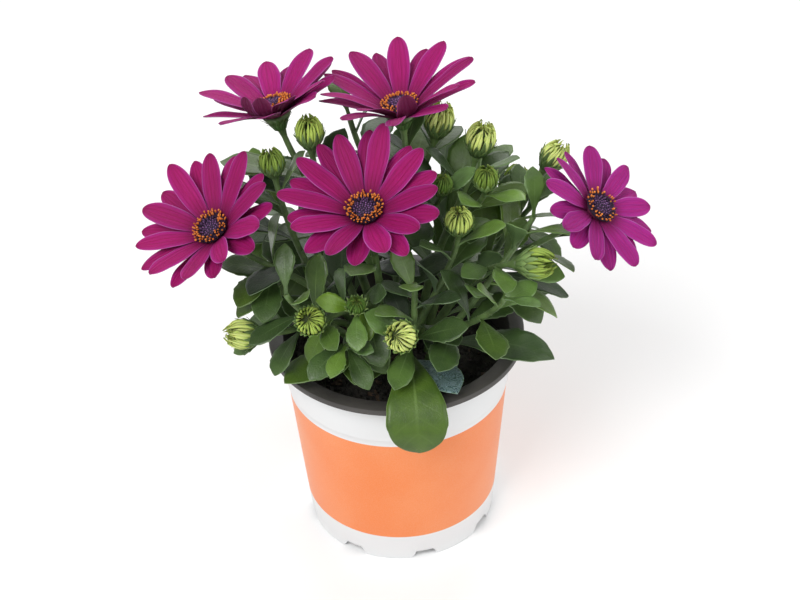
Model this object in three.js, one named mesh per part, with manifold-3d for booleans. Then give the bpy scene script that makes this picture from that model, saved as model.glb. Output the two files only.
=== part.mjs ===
// A potted osteospermum, 120 mm across the rim and about 240 mm tall: a thin plastic pot with a flat rim, the
// soil in it, twelve leafy stems that branch as they rise, five open blooms and sixteen closed buds.
// Millimetres, +Z up. The origin is the centre of the pot's foot, on the surface that the pot stands on.
import * as THREE from "three";
import { mergeGeometries, mergeVertices } from "three/addons/utils/BufferGeometryUtils.js";
import Module from "manifold-3d";

const wasm = await Module();
wasm.setup();

// ---- Driving dimensions ----

const POT = {
  rimRadius: 60,
  rimTop: 106.5,
  lipDepth: 3,
  lipThick: 1.5,
  wall: 1.3,
  footRadius: 45.4,
  topRadius: 54.3, // the wall's outside, just under the lip
  rimEdge: 0.7, // the bevel of the rim's outer edge
  footInner: 40.5,
  floorUnder: 4.4, // the floor stands clear of the ground inside the foot ring
  floorThick: 1.5,
  bossRadius: 12, // a boss under the middle of the floor, which reaches the ground
  bossSides: 12,
  beadHeight: 82, // a stacking bead above the printed band
  beadProud: 0.5,
  sides: 30,
  notches: 8,
  notchWide: 13,
  notchHigh: 4,
  notchTurn: 13, // degrees
  cutLong: 20, // the length of the tools that cut the notches and the drains
  drains: 6,
  drainSides: 6,
  drainRadius: 4,
  drainCircle: 31,
};
const GAP = 0.3; // between pieces that rest on or in each other
const CLEAR = { others: 0.9, own: 0.3 }; // room round a leaf, to other nodes and to its own
const SOIL = {
  top: 92,
  dome: 2.5,
  lump: 0.8,
  rings: 2,
  sides: 18,
  clear: 0.65, // room to the pot's wall, whose flats come in a little between its corners
  holeDepth: 9,
  holeLong: 30,
  holeGap: 2.3,
  holeAt: 0.1, // the share of the stem's length where its hole is centred
  holeSides: 6,
};
const STEM = {
  base: 2.3,
  side: 1.7,
  tip: 1.25,
  sides: 4,
  spacing: 27,
  leaveRoot: 0.48, // how far, in shares of its reach, a shoot keeps the direction in which it starts and ends
  leaveStem: 0.36,
  meet: 0.3,
  tipLift: 0.35,
};
const LEAF = {
  thick: 0.75,
  slender: 0.4,
  light: 0.55, // how far a leaf turns its upper side to the light
  stalk: 0.85,
  late: 2,
  open: [66, 40], // from its stem, in degrees: the lowest leaf of a shoot and the highest
  bend: [42, 24],
  vary: { around: 20, open: 8, length: 0.1, width: 0.12, bend: 14 },
  near: 0.3, // the share of a leaf nearest its stem, where its neighbours may touch it
};
const PETAL = {
  thick: 0.7,
  layerRise: 2,
  layerGap: 8,
  bend: 12,
  curl: -1.8, // the bend of a curled petal, against the rise of its chord
  narrower: 0.05, // the lower layer, against the upper
  shorter: 0.04,
  vary: { angle: 4, rise: 2, reach: 0.05, width: 0.07, bend: 8 },
};
const HEAD = {
  hub: 5.2, // the petals start from the faces of two hubs, one for each layer
  rootDeep: 3,
  layerDeep: 1,
  core: 4.8,
  coreSides: 5,
  foot: 4.6,
  discLow: 0.7, // the disc's foot, under the bloom's centre
  disc: 5.2,
  discHigh: 2.6,
  discSides: 12,
  ring: 7.7,
  ringSides: 12,
  ringLow: 1.1,
  ringHigh: 3.4,
  calyx: 7,
  calyxDeep: 9,
};
const BUD = {
  radius: 6,
  height: 13.5,
  ribs: 5,
  sink: 0.16, // how far the furrows between the ribs lie in
  twist: 0.08,
  dip: 0.88, // how high the crown stands between the ribs
  dimple: 0.8, // and in its middle
  calyx: 3,
  calyxDeep: 5,
};
const CALYX = { middle: 0.6, flare: 0.62 }; // the ring half way up it: its place and radius, as shares

// ---- The plant's layout: where the heads stand and which stem carries them ----

// Open blooms: centre, the way they face, the petals' reach and their rise above the disc's plane in degrees,
// their width, their number in each of two layers and the angle of the first, from +X. A few petals are curled
// up: which petal of the bloom, the rise of its chord and its share of the length.
const BLOOMS = [
  {
    at: [-11.5, -28.5, 193.6],
    faces: [-0.1, -0.36, 0.93],
    reach: 38.5,
    rise: 29,
    width: 10.4,
    layer: 10,
    first: 32,
    curled: [],
  },
  {
    at: [5.2, 15.6, 218.4],
    faces: [-0.12, 0.04, 0.99],
    reach: 40,
    rise: 31,
    width: 9.9,
    layer: 9,
    first: 44,
    curled: [[6, 62, 0.5]],
  },
  {
    at: [-50.3, 17.8, 219.3],
    faces: [-0.23, 0.17, 0.96],
    reach: 34.5,
    rise: 27,
    width: 10.6,
    layer: 9,
    first: 11,
    curled: [
      [5, 62, 0.55],
      [6, 62, 0.5],
    ],
  },
  {
    at: [-78.5, -21.9, 182.1],
    faces: [-0.4, -0.31, 0.86],
    reach: 36.9,
    rise: 26,
    width: 10.4,
    layer: 10,
    first: 9.4,
    curled: [],
  },
  {
    at: [92.8, -5.5, 174.9],
    faces: [0.54, -0.34, 0.77],
    reach: 30.8,
    rise: 9,
    width: 9.4,
    layer: 9,
    first: 18,
    curled: [],
  },
];

// Closed buds: the foot of the head, the way it points and its size against BUD.
const BUDS = [
  { at: [-34, 2, 207], faces: [-0.05, 0, 1], size: 1 },
  { at: [21, 24, 197], faces: [0.2, -0.05, 1], size: 1.12 },
  { at: [39, 13, 193.5], faces: [0.2, -0.1, 1], size: 1.1 },
  { at: [71, 26, 176], faces: [0.62, 0, 1], size: 1.02 },
  { at: [42, -1, 184], faces: [0, -0.25, 1], size: 0.85 },
  { at: [29, -21, 175], faces: [0, -0.3, 1], size: 0.98 },
  { at: [55, -26, 160], faces: [0.95, -0.35, 0.25], size: 1.15 },
  { at: [-36, -45, 146], faces: [-0.1, -0.75, 0.75], size: 1 },
  { at: [5, -49, 139], faces: [-0.35, -0.7, 0.65], size: 1.1 },
  { at: [-61, -34, 132], faces: [-0.9, -0.35, 0.35], size: 1.1 },
  { at: [-17, -43, 151], faces: [0.05, -0.5, 0.9], size: 0.62 },
  { at: [-51, 1, 194], faces: [-0.1, -0.1, 1], size: 0.9 },
  { at: [22, -4, 184], faces: [0.1, -0.2, 1], size: 0.72 },
  { at: [-46, 48, 156], faces: [-0.35, 0.5, 0.8], size: 1 },
  { at: [8, 62, 176], faces: [0.05, 0.55, 0.85], size: 1.05 },
  { at: [56, 52, 146], faces: [0.5, 0.45, 0.8], size: 0.95 },
];

// Leafy stems. Each has a root on the soil and shoots: the first rises from the root, the others leave it at
// the share "from" of its length. A shoot ends in a bloom, a bud or a plain leafy tip. Its leaves are counted
// from the lowest, between the shares "first" and "last", and shrink from "long" to "short". Those in "bare"
// have dropped off.
const STEMS = [
  {
    root: [-5, -9],
    shoots: [
      { bloom: 0, first: 0.25, last: 0.74, leaves: 5, bare: [4], long: 46, short: 30 },
      { bud: 7, from: 0.3, first: 0.4, last: 0.93, leaves: 5, long: 36, short: 20 },
      { bud: 10, from: 0.42, first: 0.35, last: 0.95, leaves: 6, long: 36, short: 20 },
    ],
  },
  {
    root: [3, 6],
    shoots: [
      { bloom: 1, first: 0.36, last: 0.82, leaves: 6, bare: [2, 4], long: 44, short: 28 },
      { bud: 1, from: 0.5, first: 0.4, last: 0.85, leaves: 4, bare: [0], long: 36, short: 26 },
      { bud: 12, from: 0.4, first: 0.45, last: 0.9, leaves: 5, bare: [0], long: 38, short: 22 },
    ],
  },
  {
    root: [-9, 9],
    shoots: [
      { bloom: 2, first: 0.3, last: 0.7, leaves: 6, bare: [1, 3], long: 46, short: 28 },
      { bud: 0, from: 0.45, first: 0.25, last: 0.64, leaves: 5, bare: [0, 2], long: 40, short: 28 },
    ],
  },
  {
    root: [-14, -3],
    shoots: [
      { bloom: 3, first: 0.3, last: 0.66, leaves: 5, long: 38, short: 30 },
      { bud: 11, from: 0.32, first: 0.35, last: 0.84, leaves: 7, bare: [3], long: 42, short: 26 },
      { bud: 9, from: 0.14, first: 0.4, last: 0.88, leaves: 5, long: 29, short: 21 },
    ],
  },
  {
    root: [14, -3],
    shoots: [
      { bloom: 4, first: 0.32, last: 0.73, leaves: 6, long: 43, short: 30 },
      { bud: 3, from: 0.36, first: 0.3, last: 0.64, leaves: 6, long: 42, short: 25 },
      { bud: 6, from: 0.3, first: 0.4, last: 0.94, leaves: 6, long: 42, short: 28 },
    ],
  },
  {
    root: [3, -15],
    shoots: [
      { bud: 8, first: 0.35, last: 0.88, leaves: 5, long: 42, short: 26 },
      { bud: 5, from: 0.2, first: 0.3, last: 0.88, leaves: 6, long: 42, short: 24 },
      { tip: [9, -38, 160], from: 0.5, first: 0.3, last: 1, leaves: 5, long: 36, short: 22 },
    ],
  },
  {
    root: [11, 7],
    shoots: [
      { bud: 2, first: 0.4, last: 0.86, leaves: 7, long: 46, short: 28 },
      { bud: 4, from: 0.5, first: 0.3, last: 0.88, leaves: 4, long: 36, short: 24 },
    ],
  },
  {
    root: [0, 16],
    shoots: [
      { bud: 14, first: 0.35, last: 0.9, leaves: 6, long: 46, short: 26 },
      { tip: [-18, 42, 198], from: 0.3, first: 0.4, last: 1, leaves: 6, long: 42, short: 24 },
      { tip: [30, 42, 172], from: 0.4, first: 0.3, last: 1, leaves: 4, long: 40, short: 26 },
    ],
  },
  {
    root: [-15, 14],
    shoots: [
      { bud: 13, first: 0.3, last: 0.9, leaves: 6, long: 46, short: 28 },
      { tip: [-60, 20, 176], from: 0.3, first: 0.35, last: 1, leaves: 6, bare: [4], long: 42, short: 24 },
    ],
  },
  {
    root: [15, 15],
    shoots: [
      { bud: 15, first: 0.35, last: 0.9, leaves: 6, long: 46, short: 28 },
      { tip: [66, 22, 160], from: 0.3, first: 0.35, last: 1, leaves: 6, long: 42, short: 24 },
      { tip: [40, 32, 169], from: 0.45, first: 0.35, last: 1, leaves: 4, long: 36, short: 24 },
    ],
  },
  {
    root: [13, -14],
    shoots: [
      { tip: [48, -40, 152], first: 0.35, last: 1, leaves: 8, long: 43, short: 20 },
      { tip: [63, -6, 171], from: 0.3, first: 0.4, last: 1, leaves: 6, long: 42, short: 24 },
    ],
  },
  {
    root: [-13, -15],
    shoots: [
      { tip: [-47, -40, 158], first: 0.35, last: 1, leaves: 7, long: 42, short: 22 },
      { tip: [-22, -52, 138], from: 0.3, first: 0.4, last: 1, leaves: 5, bare: [0], long: 36, short: 20 },
    ],
  },
];

// Leaves that have a place of their own: the large old ones low on the stems, which lie out over the soil and
// the rim, one under a side bloom, and then those that close the crown between the shoots. The stem that
// carries it, the share of its length, heading in degrees from +X, pitch above level, length, width and the
// bend along it.
const RIM_LEAVES = [
  { stem: 5, from: 0.4, heading: -87, pitch: 15, length: 66, width: 27, bend: 124 },
  { stem: 10, from: 0.32, heading: -27, pitch: 20, length: 58, width: 21, bend: 36 },
  { stem: 5, from: 0.24, heading: -59, pitch: 22, length: 45, width: 19, bend: 30 },
  { stem: 0, from: 0.2, heading: -108, pitch: 12, length: 44, width: 20, bend: 20 },
  { stem: 11, from: 0.24, heading: -141, pitch: 14, length: 44, width: 18, bend: 24 },
  { stem: 3, from: 0.22, heading: -172, pitch: 22, length: 50, width: 19, bend: 40 },
  { stem: 8, from: 0.22, heading: 141, pitch: 24, length: 54, width: 20, bend: 44 },
  { stem: 7, from: 0.22, heading: 90, pitch: 24, length: 56, width: 21, bend: 44 },
  { stem: 9, from: 0.22, heading: 44, pitch: 24, length: 54, width: 20, bend: 44 },
  { stem: 4, from: 0.22, heading: 6, pitch: 24, length: 54, width: 18, bend: 44 },
  { stem: 3, from: 0.55, heading: 180, pitch: 24, length: 36, width: 16, bend: 30 },
  { stem: 6, from: 0.42, heading: 65, pitch: 48, length: 40, width: 17, bend: 16 },
  { stem: 4, from: 0.48, heading: 97, pitch: 59, length: 40, width: 17, bend: 16 },
  { stem: 1, from: 0.66, heading: 73, pitch: 25, length: 41, width: 17, bend: 16 },
  { stem: 6, from: 0.66, heading: 67, pitch: 58, length: 38, width: 16, bend: 16 },
  { stem: 4, from: 0.36, heading: 104, pitch: 37, length: 39, width: 16, bend: 16 },
  { stem: 3, from: 0.3, heading: 77, pitch: 78, length: 41, width: 17, bend: 16 },
  { stem: 2, from: 0.72, heading: 166, pitch: 12, length: 41, width: 17, bend: 16 },
  { stem: 8, from: 0.78, heading: -152, pitch: -10, length: 42, width: 18, bend: 40 },
  { stem: 3, from: 0.66, heading: -122, pitch: 7, length: 30, width: 13, bend: 40 },
  { stem: 4, from: 0.48, heading: -46, pitch: -8, length: 36, width: 16, bend: 40 },
  { stem: 3, from: 0.66, heading: -98, pitch: -5, length: 32, width: 13, bend: 30 },
  { stem: 8, from: 0.6, heading: -128, pitch: -11, length: 41, width: 17, bend: 40 },
];

// ---- Small maths ----

const GOLDEN = 137.5; // degrees from one leaf of a shoot to the next, and from one shoot to the next
const SHOOT_TURN = 61;
const rad = THREE.MathUtils.degToRad;
const vec = (a) => new THREE.Vector3(...a);
const mix = THREE.MathUtils.lerp;
const X = new THREE.Vector3(1, 0, 0);
const Y = new THREE.Vector3(0, 1, 0);
const Z = new THREE.Vector3(0, 0, 1);

// A steady value from -1 to 1 for a key and a channel, so that each piece varies in its own way.
function jitter(key, channel) {
  let h = (Math.imul(key + 1, 374761393) + Math.imul(channel + 1, 668265263)) >>> 0;
  h = Math.imul(h ^ (h >>> 13), 1274126177) >>> 0;
  return (((h ^ (h >>> 16)) >>> 0) / 4294967295) * 2 - 1;
}

// A right-handed frame whose z is the given direction, with x as near to +X as that allows.
function facing(direction) {
  const z = vec(direction).normalize();
  const y = z.clone().cross(X).normalize();
  const x = y.clone().cross(z);
  return { x, y, z };
}

// ---- Solids ----

// A closed mesh as a solid that can be joined and cut.
function solid(geometry) {
  const g = geometry.clone();
  for (const name of ["normal", "uv"]) g.deleteAttribute(name);
  const merged = mergeVertices(g, 1e-4);
  return new wasm.Manifold(
    new wasm.Mesh({
      numProp: 3,
      vertProperties: merged.attributes.position.array,
      triVerts: new Uint32Array(merged.index.array),
    }),
  );
}

// Joins a list of solids, pair by pair.
function joined(solids) {
  let list = [...solids];
  while (list.length > 1) {
    const next = [];
    for (let i = 0; i < list.length; i += 2)
      next.push(i + 1 < list.length ? list[i].add(list[i + 1]) : list[i]);
    list = next;
  }
  return list[0];
}

// The geometry of a solid, with flat faces.
function geometryOf(made) {
  const mesh = made.getMesh();
  const g = new THREE.BufferGeometry();
  g.setAttribute("position", new THREE.BufferAttribute(mesh.vertProperties, mesh.numProp));
  g.setIndex(new THREE.BufferAttribute(mesh.triVerts, 1));
  g.computeVertexNormals();
  return g;
}

// A closed skin over rings of points, all with one count, with a fan over each end. A ring may be one point.
function loft(rings) {
  const points = [];
  const index = [];
  const starts = rings.map((ring) => {
    const start = points.length;
    points.push(...ring);
    return start;
  });
  for (let i = 0; i + 1 < rings.length; i++) {
    const [a, b] = [starts[i], starts[i + 1]];
    const [na, nb] = [rings[i].length, rings[i + 1].length];
    const n = Math.max(na, nb);
    for (let j = 0; j < n; j++) {
      const k = (j + 1) % n;
      if (nb > 1) index.push(a + (na > 1 ? j : 0), b + j, b + k);
      if (na > 1) index.push(a + j, b + (nb > 1 ? k : 0), a + k);
    }
  }
  for (const [ring, start, flip] of [
    [rings[0], starts[0], false],
    [rings.at(-1), starts.at(-1), true],
  ])
    for (let j = 1; j + 1 < ring.length; j++)
      index.push(start, start + (flip ? j + 1 : j), start + (flip ? j : j + 1));
  return meshOf(points, index);
}

// The solid of a loft, whichever way its rings run.
function lofted(rings) {
  const made = solid(loft(rings));
  return made.volume() > 0 ? made : solid(loft([...rings].reverse()));
}

// A ring of points round a centre.
function ring(centre, x, y, radius, sides, turn = 0) {
  return Array.from({ length: sides }, (_, i) => {
    const a = (i / sides) * 2 * Math.PI + turn;
    return centre
      .clone()
      .addScaledVector(x, radius * Math.cos(a))
      .addScaledVector(y, radius * Math.sin(a));
  });
}

// The corners of a thin blade, row by row: base point, its direction and upper side there, length, bend in
// degrees towards the lower side (or, if negative, the upper), how late the bend comes, and the half width at
// each station of its length. The last station is the tip.
function bladeRows({ base, along, up, length, bend, late, thick, stations }) {
  const side = along.clone().cross(up).normalize();
  return stations.map(([s, half]) => {
    const { centre, normal } = spine({ base, along, up, length, bend, late }, s);
    const corner = (w, h) =>
      centre
        .clone()
        .addScaledVector(side, w * half)
        .addScaledVector(normal, h * thick);
    return half > 0
      ? [corner(-1, 0.5), corner(1, 0.5), corner(1, -0.5), corner(-1, -0.5)]
      : [corner(0, 0.5), corner(0, -0.5)];
  });
}

// A point of a blade's middle line, and its upper normal there. The line has turned by bend * s ^ late at s.
function spine({ base, along, up, length, bend, late }, s) {
  const turned = (u) => rad(bend) * u ** late;
  const centre = base.clone();
  const steps = 12;
  for (let i = 0; i < steps; i++) {
    const angle = turned((s * (i + 0.5)) / steps);
    centre.addScaledVector(along, ((length * s) / steps) * Math.cos(angle));
    centre.addScaledVector(up, ((-length * s) / steps) * Math.sin(angle));
  }
  const normal = up
    .clone()
    .multiplyScalar(Math.cos(turned(s)))
    .addScaledVector(along, Math.sin(turned(s)));
  return { centre, normal };
}

// A mesh from its points and its triangles.
function meshOf(points, index) {
  const g = new THREE.BufferGeometry();
  g.setAttribute(
    "position",
    new THREE.BufferAttribute(new Float32Array(points.flatMap((p) => p.toArray())), 3),
  );
  g.setIndex(index);
  return g;
}

// The skin of a blade: rows of four corners and, last, the two points of the tip. Its base is left open where
// it grows from a face of the same size.
function bladeSkin(rows, open = false) {
  const points = rows.flat();
  const index = open ? [] : [0, 2, 1, 0, 3, 2];
  const last = rows.length - 2;
  for (let i = 0; i < last; i++)
    for (let j = 0; j < 4; j++) {
      const [a, b] = [i * 4 + j, i * 4 + ((j + 1) % 4)];
      index.push(a, b + 4, a + 4, a, b, b + 4);
    }
  const [tl, tr, br, bl] = [0, 1, 2, 3].map((j) => last * 4 + j);
  const [top, bottom] = [last * 4 + 4, last * 4 + 5];
  index.push(tl, tr, top, tr, bottom, top, tr, br, bottom, br, bl, bottom, bl, top, bottom, bl, tl, top);
  return meshOf(points, index);
}

// ---- Pot and soil ----

// The pot wall's outside radius at a height.
function wallRadius(z) {
  const lipFoot = POT.rimTop - POT.lipDepth;
  return mix(POT.footRadius, POT.topRadius, z / lipFoot);
}

function potSolid() {
  const { rimRadius, rimTop, lipDepth, lipThick, wall, beadHeight, beadProud } = POT;
  const lipFoot = rimTop - lipDepth;
  const underLip = rimTop - lipThick;
  const floorTop = POT.floorUnder + POT.floorThick;
  const profile = [
    [0, POT.floorUnder],
    [POT.footInner, POT.floorUnder],
    [POT.footInner, 0],
    [POT.footRadius, 0],
    [wallRadius(beadHeight), beadHeight],
    [wallRadius(beadHeight) + beadProud, beadHeight + beadProud],
    [wallRadius(lipFoot) + beadProud, underLip],
    [rimRadius - lipThick, underLip],
    [rimRadius - lipThick, lipFoot],
    [rimRadius, lipFoot],
    [rimRadius, rimTop - POT.rimEdge],
    [rimRadius - POT.rimEdge, rimTop],
    [wallRadius(lipFoot) - wall, rimTop],
    [wallRadius(floorTop) - wall, floorTop],
    [0, floorTop],
  ];
  const body = solid(
    new THREE.LatheGeometry(
      profile.map(([r, z]) => new THREE.Vector2(r, z)),
      POT.sides,
    ).rotateX(Math.PI / 2),
  );
  const boss = lofted([
    ring(new THREE.Vector3(), X, Y, POT.bossRadius, POT.bossSides),
    ring(new THREE.Vector3(0, 0, POT.floorUnder + POT.floorThick / 2), X, Y, POT.bossRadius, POT.bossSides),
  ]);
  const cuts = [];
  for (let i = 0; i < POT.notches; i++)
    cuts.push(
      solid(
        new THREE.BoxGeometry(POT.cutLong, POT.notchWide, POT.notchHigh * 2)
          .translate(POT.footRadius, 0, 0)
          .rotateZ((i / POT.notches) * 2 * Math.PI + rad(POT.notchTurn)),
      ),
    );
  for (let i = 0; i < POT.drains; i++)
    cuts.push(
      solid(
        new THREE.CylinderGeometry(POT.drainRadius, POT.drainRadius, POT.cutLong, POT.drainSides)
          .rotateX(Math.PI / 2)
          .translate(POT.drainCircle, 0, 0)
          .rotateZ(((i + 0.5) / POT.drains) * 2 * Math.PI + rad(POT.notchTurn)),
      ),
    );
  return body.add(boss).subtract(joined(cuts));
}

// The soil's surface: a shallow dome with lumps.
function soilHeight(x, y) {
  const r = Math.hypot(x, y) / POT.topRadius;
  const lumps = Math.sin(x * 0.31 + 1.3) * Math.cos(y * 0.27) + Math.sin((x - y) * 0.19);
  return SOIL.top + SOIL.dome * (1 - r * r) + SOIL.lump * lumps;
}

// The soil, with a plain hole for each stem.
function soilSolid() {
  const floor = POT.floorUnder + POT.floorThick + GAP;
  const inside = (z) => wallRadius(z) - POT.wall - SOIL.clear;
  const rings = [ring(new THREE.Vector3(0, 0, floor), X, Y, inside(floor), SOIL.sides)];
  for (let i = SOIL.rings; i > 0; i--) {
    const radius = (inside(SOIL.top) * i) / SOIL.rings;
    rings.push(ring(new THREE.Vector3(), X, Y, radius, SOIL.sides).map((p) => p.setZ(soilHeight(p.x, p.y))));
  }
  rings.push([new THREE.Vector3(0, 0, soilHeight(0, 0))]);
  const holes = STEMS.map((stem) => {
    const { x, y } = shootCurve(stem.shoots[0], stem.root, null).getPoint(SOIL.holeAt);
    const radius = STEM.base + SOIL.holeGap;
    return solid(
      new THREE.CylinderGeometry(radius, radius, SOIL.holeLong, SOIL.holeSides)
        .rotateX(Math.PI / 2)
        .translate(x, y, SOIL.top - SOIL.holeDepth + SOIL.holeLong / 2),
    );
  });
  return lofted(rings).subtract(joined(holes));
}

// ---- Stems and the heads on them ----

// The foot of the head that a shoot carries, and the way it faces.
function headOf(shoot) {
  if (shoot.bloom !== undefined) {
    const { at, faces } = BLOOMS[shoot.bloom];
    const { z } = facing(faces);
    return { at: vec(at).addScaledVector(z, -HEAD.foot - GAP), z };
  }
  if (shoot.bud !== undefined) {
    const { at, faces } = BUDS[shoot.bud];
    return { at: vec(at), z: facing(faces).z };
  }
  return { at: vec(shoot.tip), z: null };
}

// The line of a shoot: it leaves the root upright, or its parent along the parent, and meets its head head-on.
function shootCurve(shoot, root, parent) {
  const { at, z } = headOf(shoot);
  const start = parent
    ? parent.getPoint(shoot.from)
    : new THREE.Vector3(root[0], root[1], SOIL.top - SOIL.holeDepth + GAP);
  const reach = start.distanceTo(at);
  const leave = parent ? parent.getTangent(shoot.from) : Z;
  const meet = z ?? at.clone().sub(start).normalize().addScaledVector(Z, STEM.tipLift).normalize();
  return new THREE.CubicBezierCurve3(
    start,
    start.clone().addScaledVector(leave, reach * (parent ? STEM.leaveStem : STEM.leaveRoot)),
    at.clone().addScaledVector(meet, -reach * STEM.meet),
    at,
  );
}

// A tapered stem along a curve. Under a head it ends in a green cup, the calyx: a radius and a depth.
function stemSolid(curve, from, to, cup) {
  const steps = Math.max(3, Math.round(curve.getLength() / STEM.spacing));
  const frames = curve.computeFrenetFrames(steps, false);
  const shareUnder = cup ? 1 - cup.deep / curve.getLength() : 1;
  const rings = [];
  for (let i = 0; i <= steps; i++) {
    const centre = curve.getPointAt((i / steps) * shareUnder);
    rings.push(ring(centre, frames.normals[i], frames.binormals[i], mix(from, to, i / steps), STEM.sides));
  }
  if (cup) {
    const [x, y] = [frames.normals[steps], frames.binormals[steps]];
    const middle = curve.getPointAt(mix(shareUnder, 1, CALYX.middle));
    rings.push(ring(middle, x, y, cup.radius * CALYX.flare, STEM.sides));
    rings.push(ring(curve.getPointAt(1), x, y, cup.radius, STEM.sides));
  }
  return lofted(rings);
}

// The calyx under the head that a shoot carries.
function cupOf(shoot) {
  if (shoot.bloom !== undefined) return { radius: HEAD.calyx, deep: HEAD.calyxDeep };
  if (shoot.bud === undefined) return null;
  const { size } = BUDS[shoot.bud];
  return { radius: BUD.calyx * size, deep: BUD.calyxDeep * size };
}

// ---- Blooms ----

// Half widths of a petal, as shares of its width, along its length.
const PETAL_STATIONS = [
  [0.52, 0.48],
  [0.88, 0.38],
  [1, 0],
];

// Each petal of a bloom: its angle round the head, rise, reach and width.
function petalsOf(bloom) {
  const { reach, rise, width, layer: count, first, curled } = BLOOMS[bloom];
  const { vary } = PETAL;
  const petals = [];
  for (let layer = 0; layer < 2; layer++)
    for (let i = 0; i < count; i++) {
      const key = bloom * 40 + layer * 20 + i;
      petals.push({
        angle: (360 / count) * (i + layer * 0.5) + first + vary.angle * jitter(key, 0),
        rise: rise + PETAL.layerRise - layer * PETAL.layerGap + vary.rise * jitter(key, 1),
        reach: reach * (1 - PETAL.shorter * layer + vary.reach * jitter(key, 2)),
        width: width * (1 - PETAL.narrower * layer + vary.width * jitter(key, 3)),
        bend: PETAL.bend + vary.bend * jitter(key, 4),
        share: 1,
      });
    }
  for (const [i, chord, share] of curled)
    Object.assign(petals[i], { rise: chord, bend: PETAL.curl * chord, share });
  return petals;
}

// The skin of a petal that grows from a face of the hub, whose four corners are its first row.
function petalSkin({ x, y, z }, face, { angle, rise, reach, width, bend, share }) {
  const out = x
    .clone()
    .multiplyScalar(Math.cos(rad(angle)))
    .addScaledVector(y, Math.sin(rad(angle)));
  const lift = rad(rise + bend / 2); // the arc's chord keeps the rise
  const base = face[0].clone().add(face[1]).add(face[2]).add(face[3]).multiplyScalar(0.25);
  const rows = bladeRows({
    base,
    along: out.clone().multiplyScalar(Math.cos(lift)).addScaledVector(z, Math.sin(lift)),
    up: z.clone().multiplyScalar(Math.cos(lift)).addScaledVector(out, -Math.sin(lift)),
    length: (reach - HEAD.hub) * share,
    bend,
    late: 1,
    thick: PETAL.thick,
    stations: PETAL_STATIONS.map(([s, half]) => [s, half * width]),
  });
  return bladeSkin([face, ...rows], true);
}

// The ray petals, in two layers. Each layer has a hub with a face for each petal. A core joins the hubs and
// carries the disc.
function bloomPetals(bloom) {
  const frame = facing(BLOOMS[bloom].faces);
  const { x, y, z } = frame;
  const { at, layer: count, first } = BLOOMS[bloom];
  const level = (h) => vec(at).addScaledVector(z, h);
  const petals = petalsOf(bloom);
  const layers = [0, 1].map((layer) => {
    const turn = rad(first + (180 / count) * (layer - 1));
    const deep = HEAD.rootDeep + layer * HEAD.layerDeep;
    const radius = HEAD.hub / Math.cos(Math.PI / count);
    const top = ring(level(PETAL.thick / 2 - deep), x, y, radius, count, turn);
    const bottom = ring(level(-PETAL.thick / 2 - deep), x, y, radius, count, turn);
    const caps = [top, [...bottom].reverse()].map((cap) =>
      meshOf(cap, Array.from({ length: count - 2 }, (_, i) => [0, i + 1, i + 2]).flat()),
    );
    const skins = top.map((_, i) => {
      const next = (i + 1) % count;
      return petalSkin(frame, [top[next], top[i], bottom[i], bottom[next]], petals[layer * count + i]);
    });
    return solid(mergeGeometries([...caps, ...skins]));
  });
  const ends = [-HEAD.rootDeep - HEAD.layerDeep, -HEAD.discLow];
  const core = lofted(ends.map((h) => ring(level(h), x, y, HEAD.core, HEAD.coreSides)));
  return joined([...layers, core]);
}

// The dark dome of closed florets: a low dome whose surface is raised in points. Each row is a share of its
// radius and of its height.
function bloomDisc(bloom) {
  const { x, y, z } = facing(BLOOMS[bloom].faces);
  const foot = vec(BLOOMS[bloom].at).addScaledVector(z, GAP - HEAD.discLow);
  const rows = [
    [0.96, 0],
    [1, 0.45],
    [0.62, 0.9],
  ];
  const sides = HEAD.discSides;
  const rings = rows.map(([r, h], row) =>
    Array.from({ length: sides }, (_, i) => {
      const raised = (i + row) % 2 ? 1.16 : 0.92;
      const a = (i / sides) * 2 * Math.PI;
      return foot
        .clone()
        .addScaledVector(x, HEAD.disc * r * Math.cos(a))
        .addScaledVector(y, HEAD.disc * r * Math.sin(a))
        .addScaledVector(z, HEAD.discHigh * h * raised);
    }),
  );
  rings.push([foot.clone().addScaledVector(z, HEAD.discHigh)]);
  return lofted(rings);
}

// The ring of open disc florets round the dome: a low band with an orange bead on every other corner.
function bloomFlorets(bloom) {
  const { x, y, z } = facing(BLOOMS[bloom].faces);
  const centre = vec(BLOOMS[bloom].at).addScaledVector(z, GAP - HEAD.discLow);
  const sides = HEAD.ringSides;
  const inner = HEAD.disc + GAP * 1.6;
  const outer = HEAD.ring;
  const corner = (r, h, i) => {
    const a = (i / sides) * 2 * Math.PI;
    return centre
      .clone()
      .addScaledVector(x, r * Math.cos(a))
      .addScaledVector(y, r * Math.sin(a))
      .addScaledVector(z, h);
  };
  const rows = [];
  for (let i = 0; i < sides; i++) {
    const high = i % 2 ? HEAD.ringHigh : HEAD.ringLow;
    rows.push([corner(inner, 0, i), corner(outer, 0, i), corner(outer, high, i), corner(inner, high, i)]);
  }
  const points = rows.flat();
  const index = [];
  for (let i = 0; i < sides; i++)
    for (let j = 0; j < 4; j++) {
      const k = (i + 1) % sides;
      const [a, b] = [i * 4 + j, i * 4 + ((j + 1) % 4)];
      const [c, d] = [k * 4 + ((j + 1) % 4), k * 4 + j];
      index.push(a, c, b, a, d, c);
    }
  return solid(meshOf(points, index));
}

// ---- Buds ----

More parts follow.
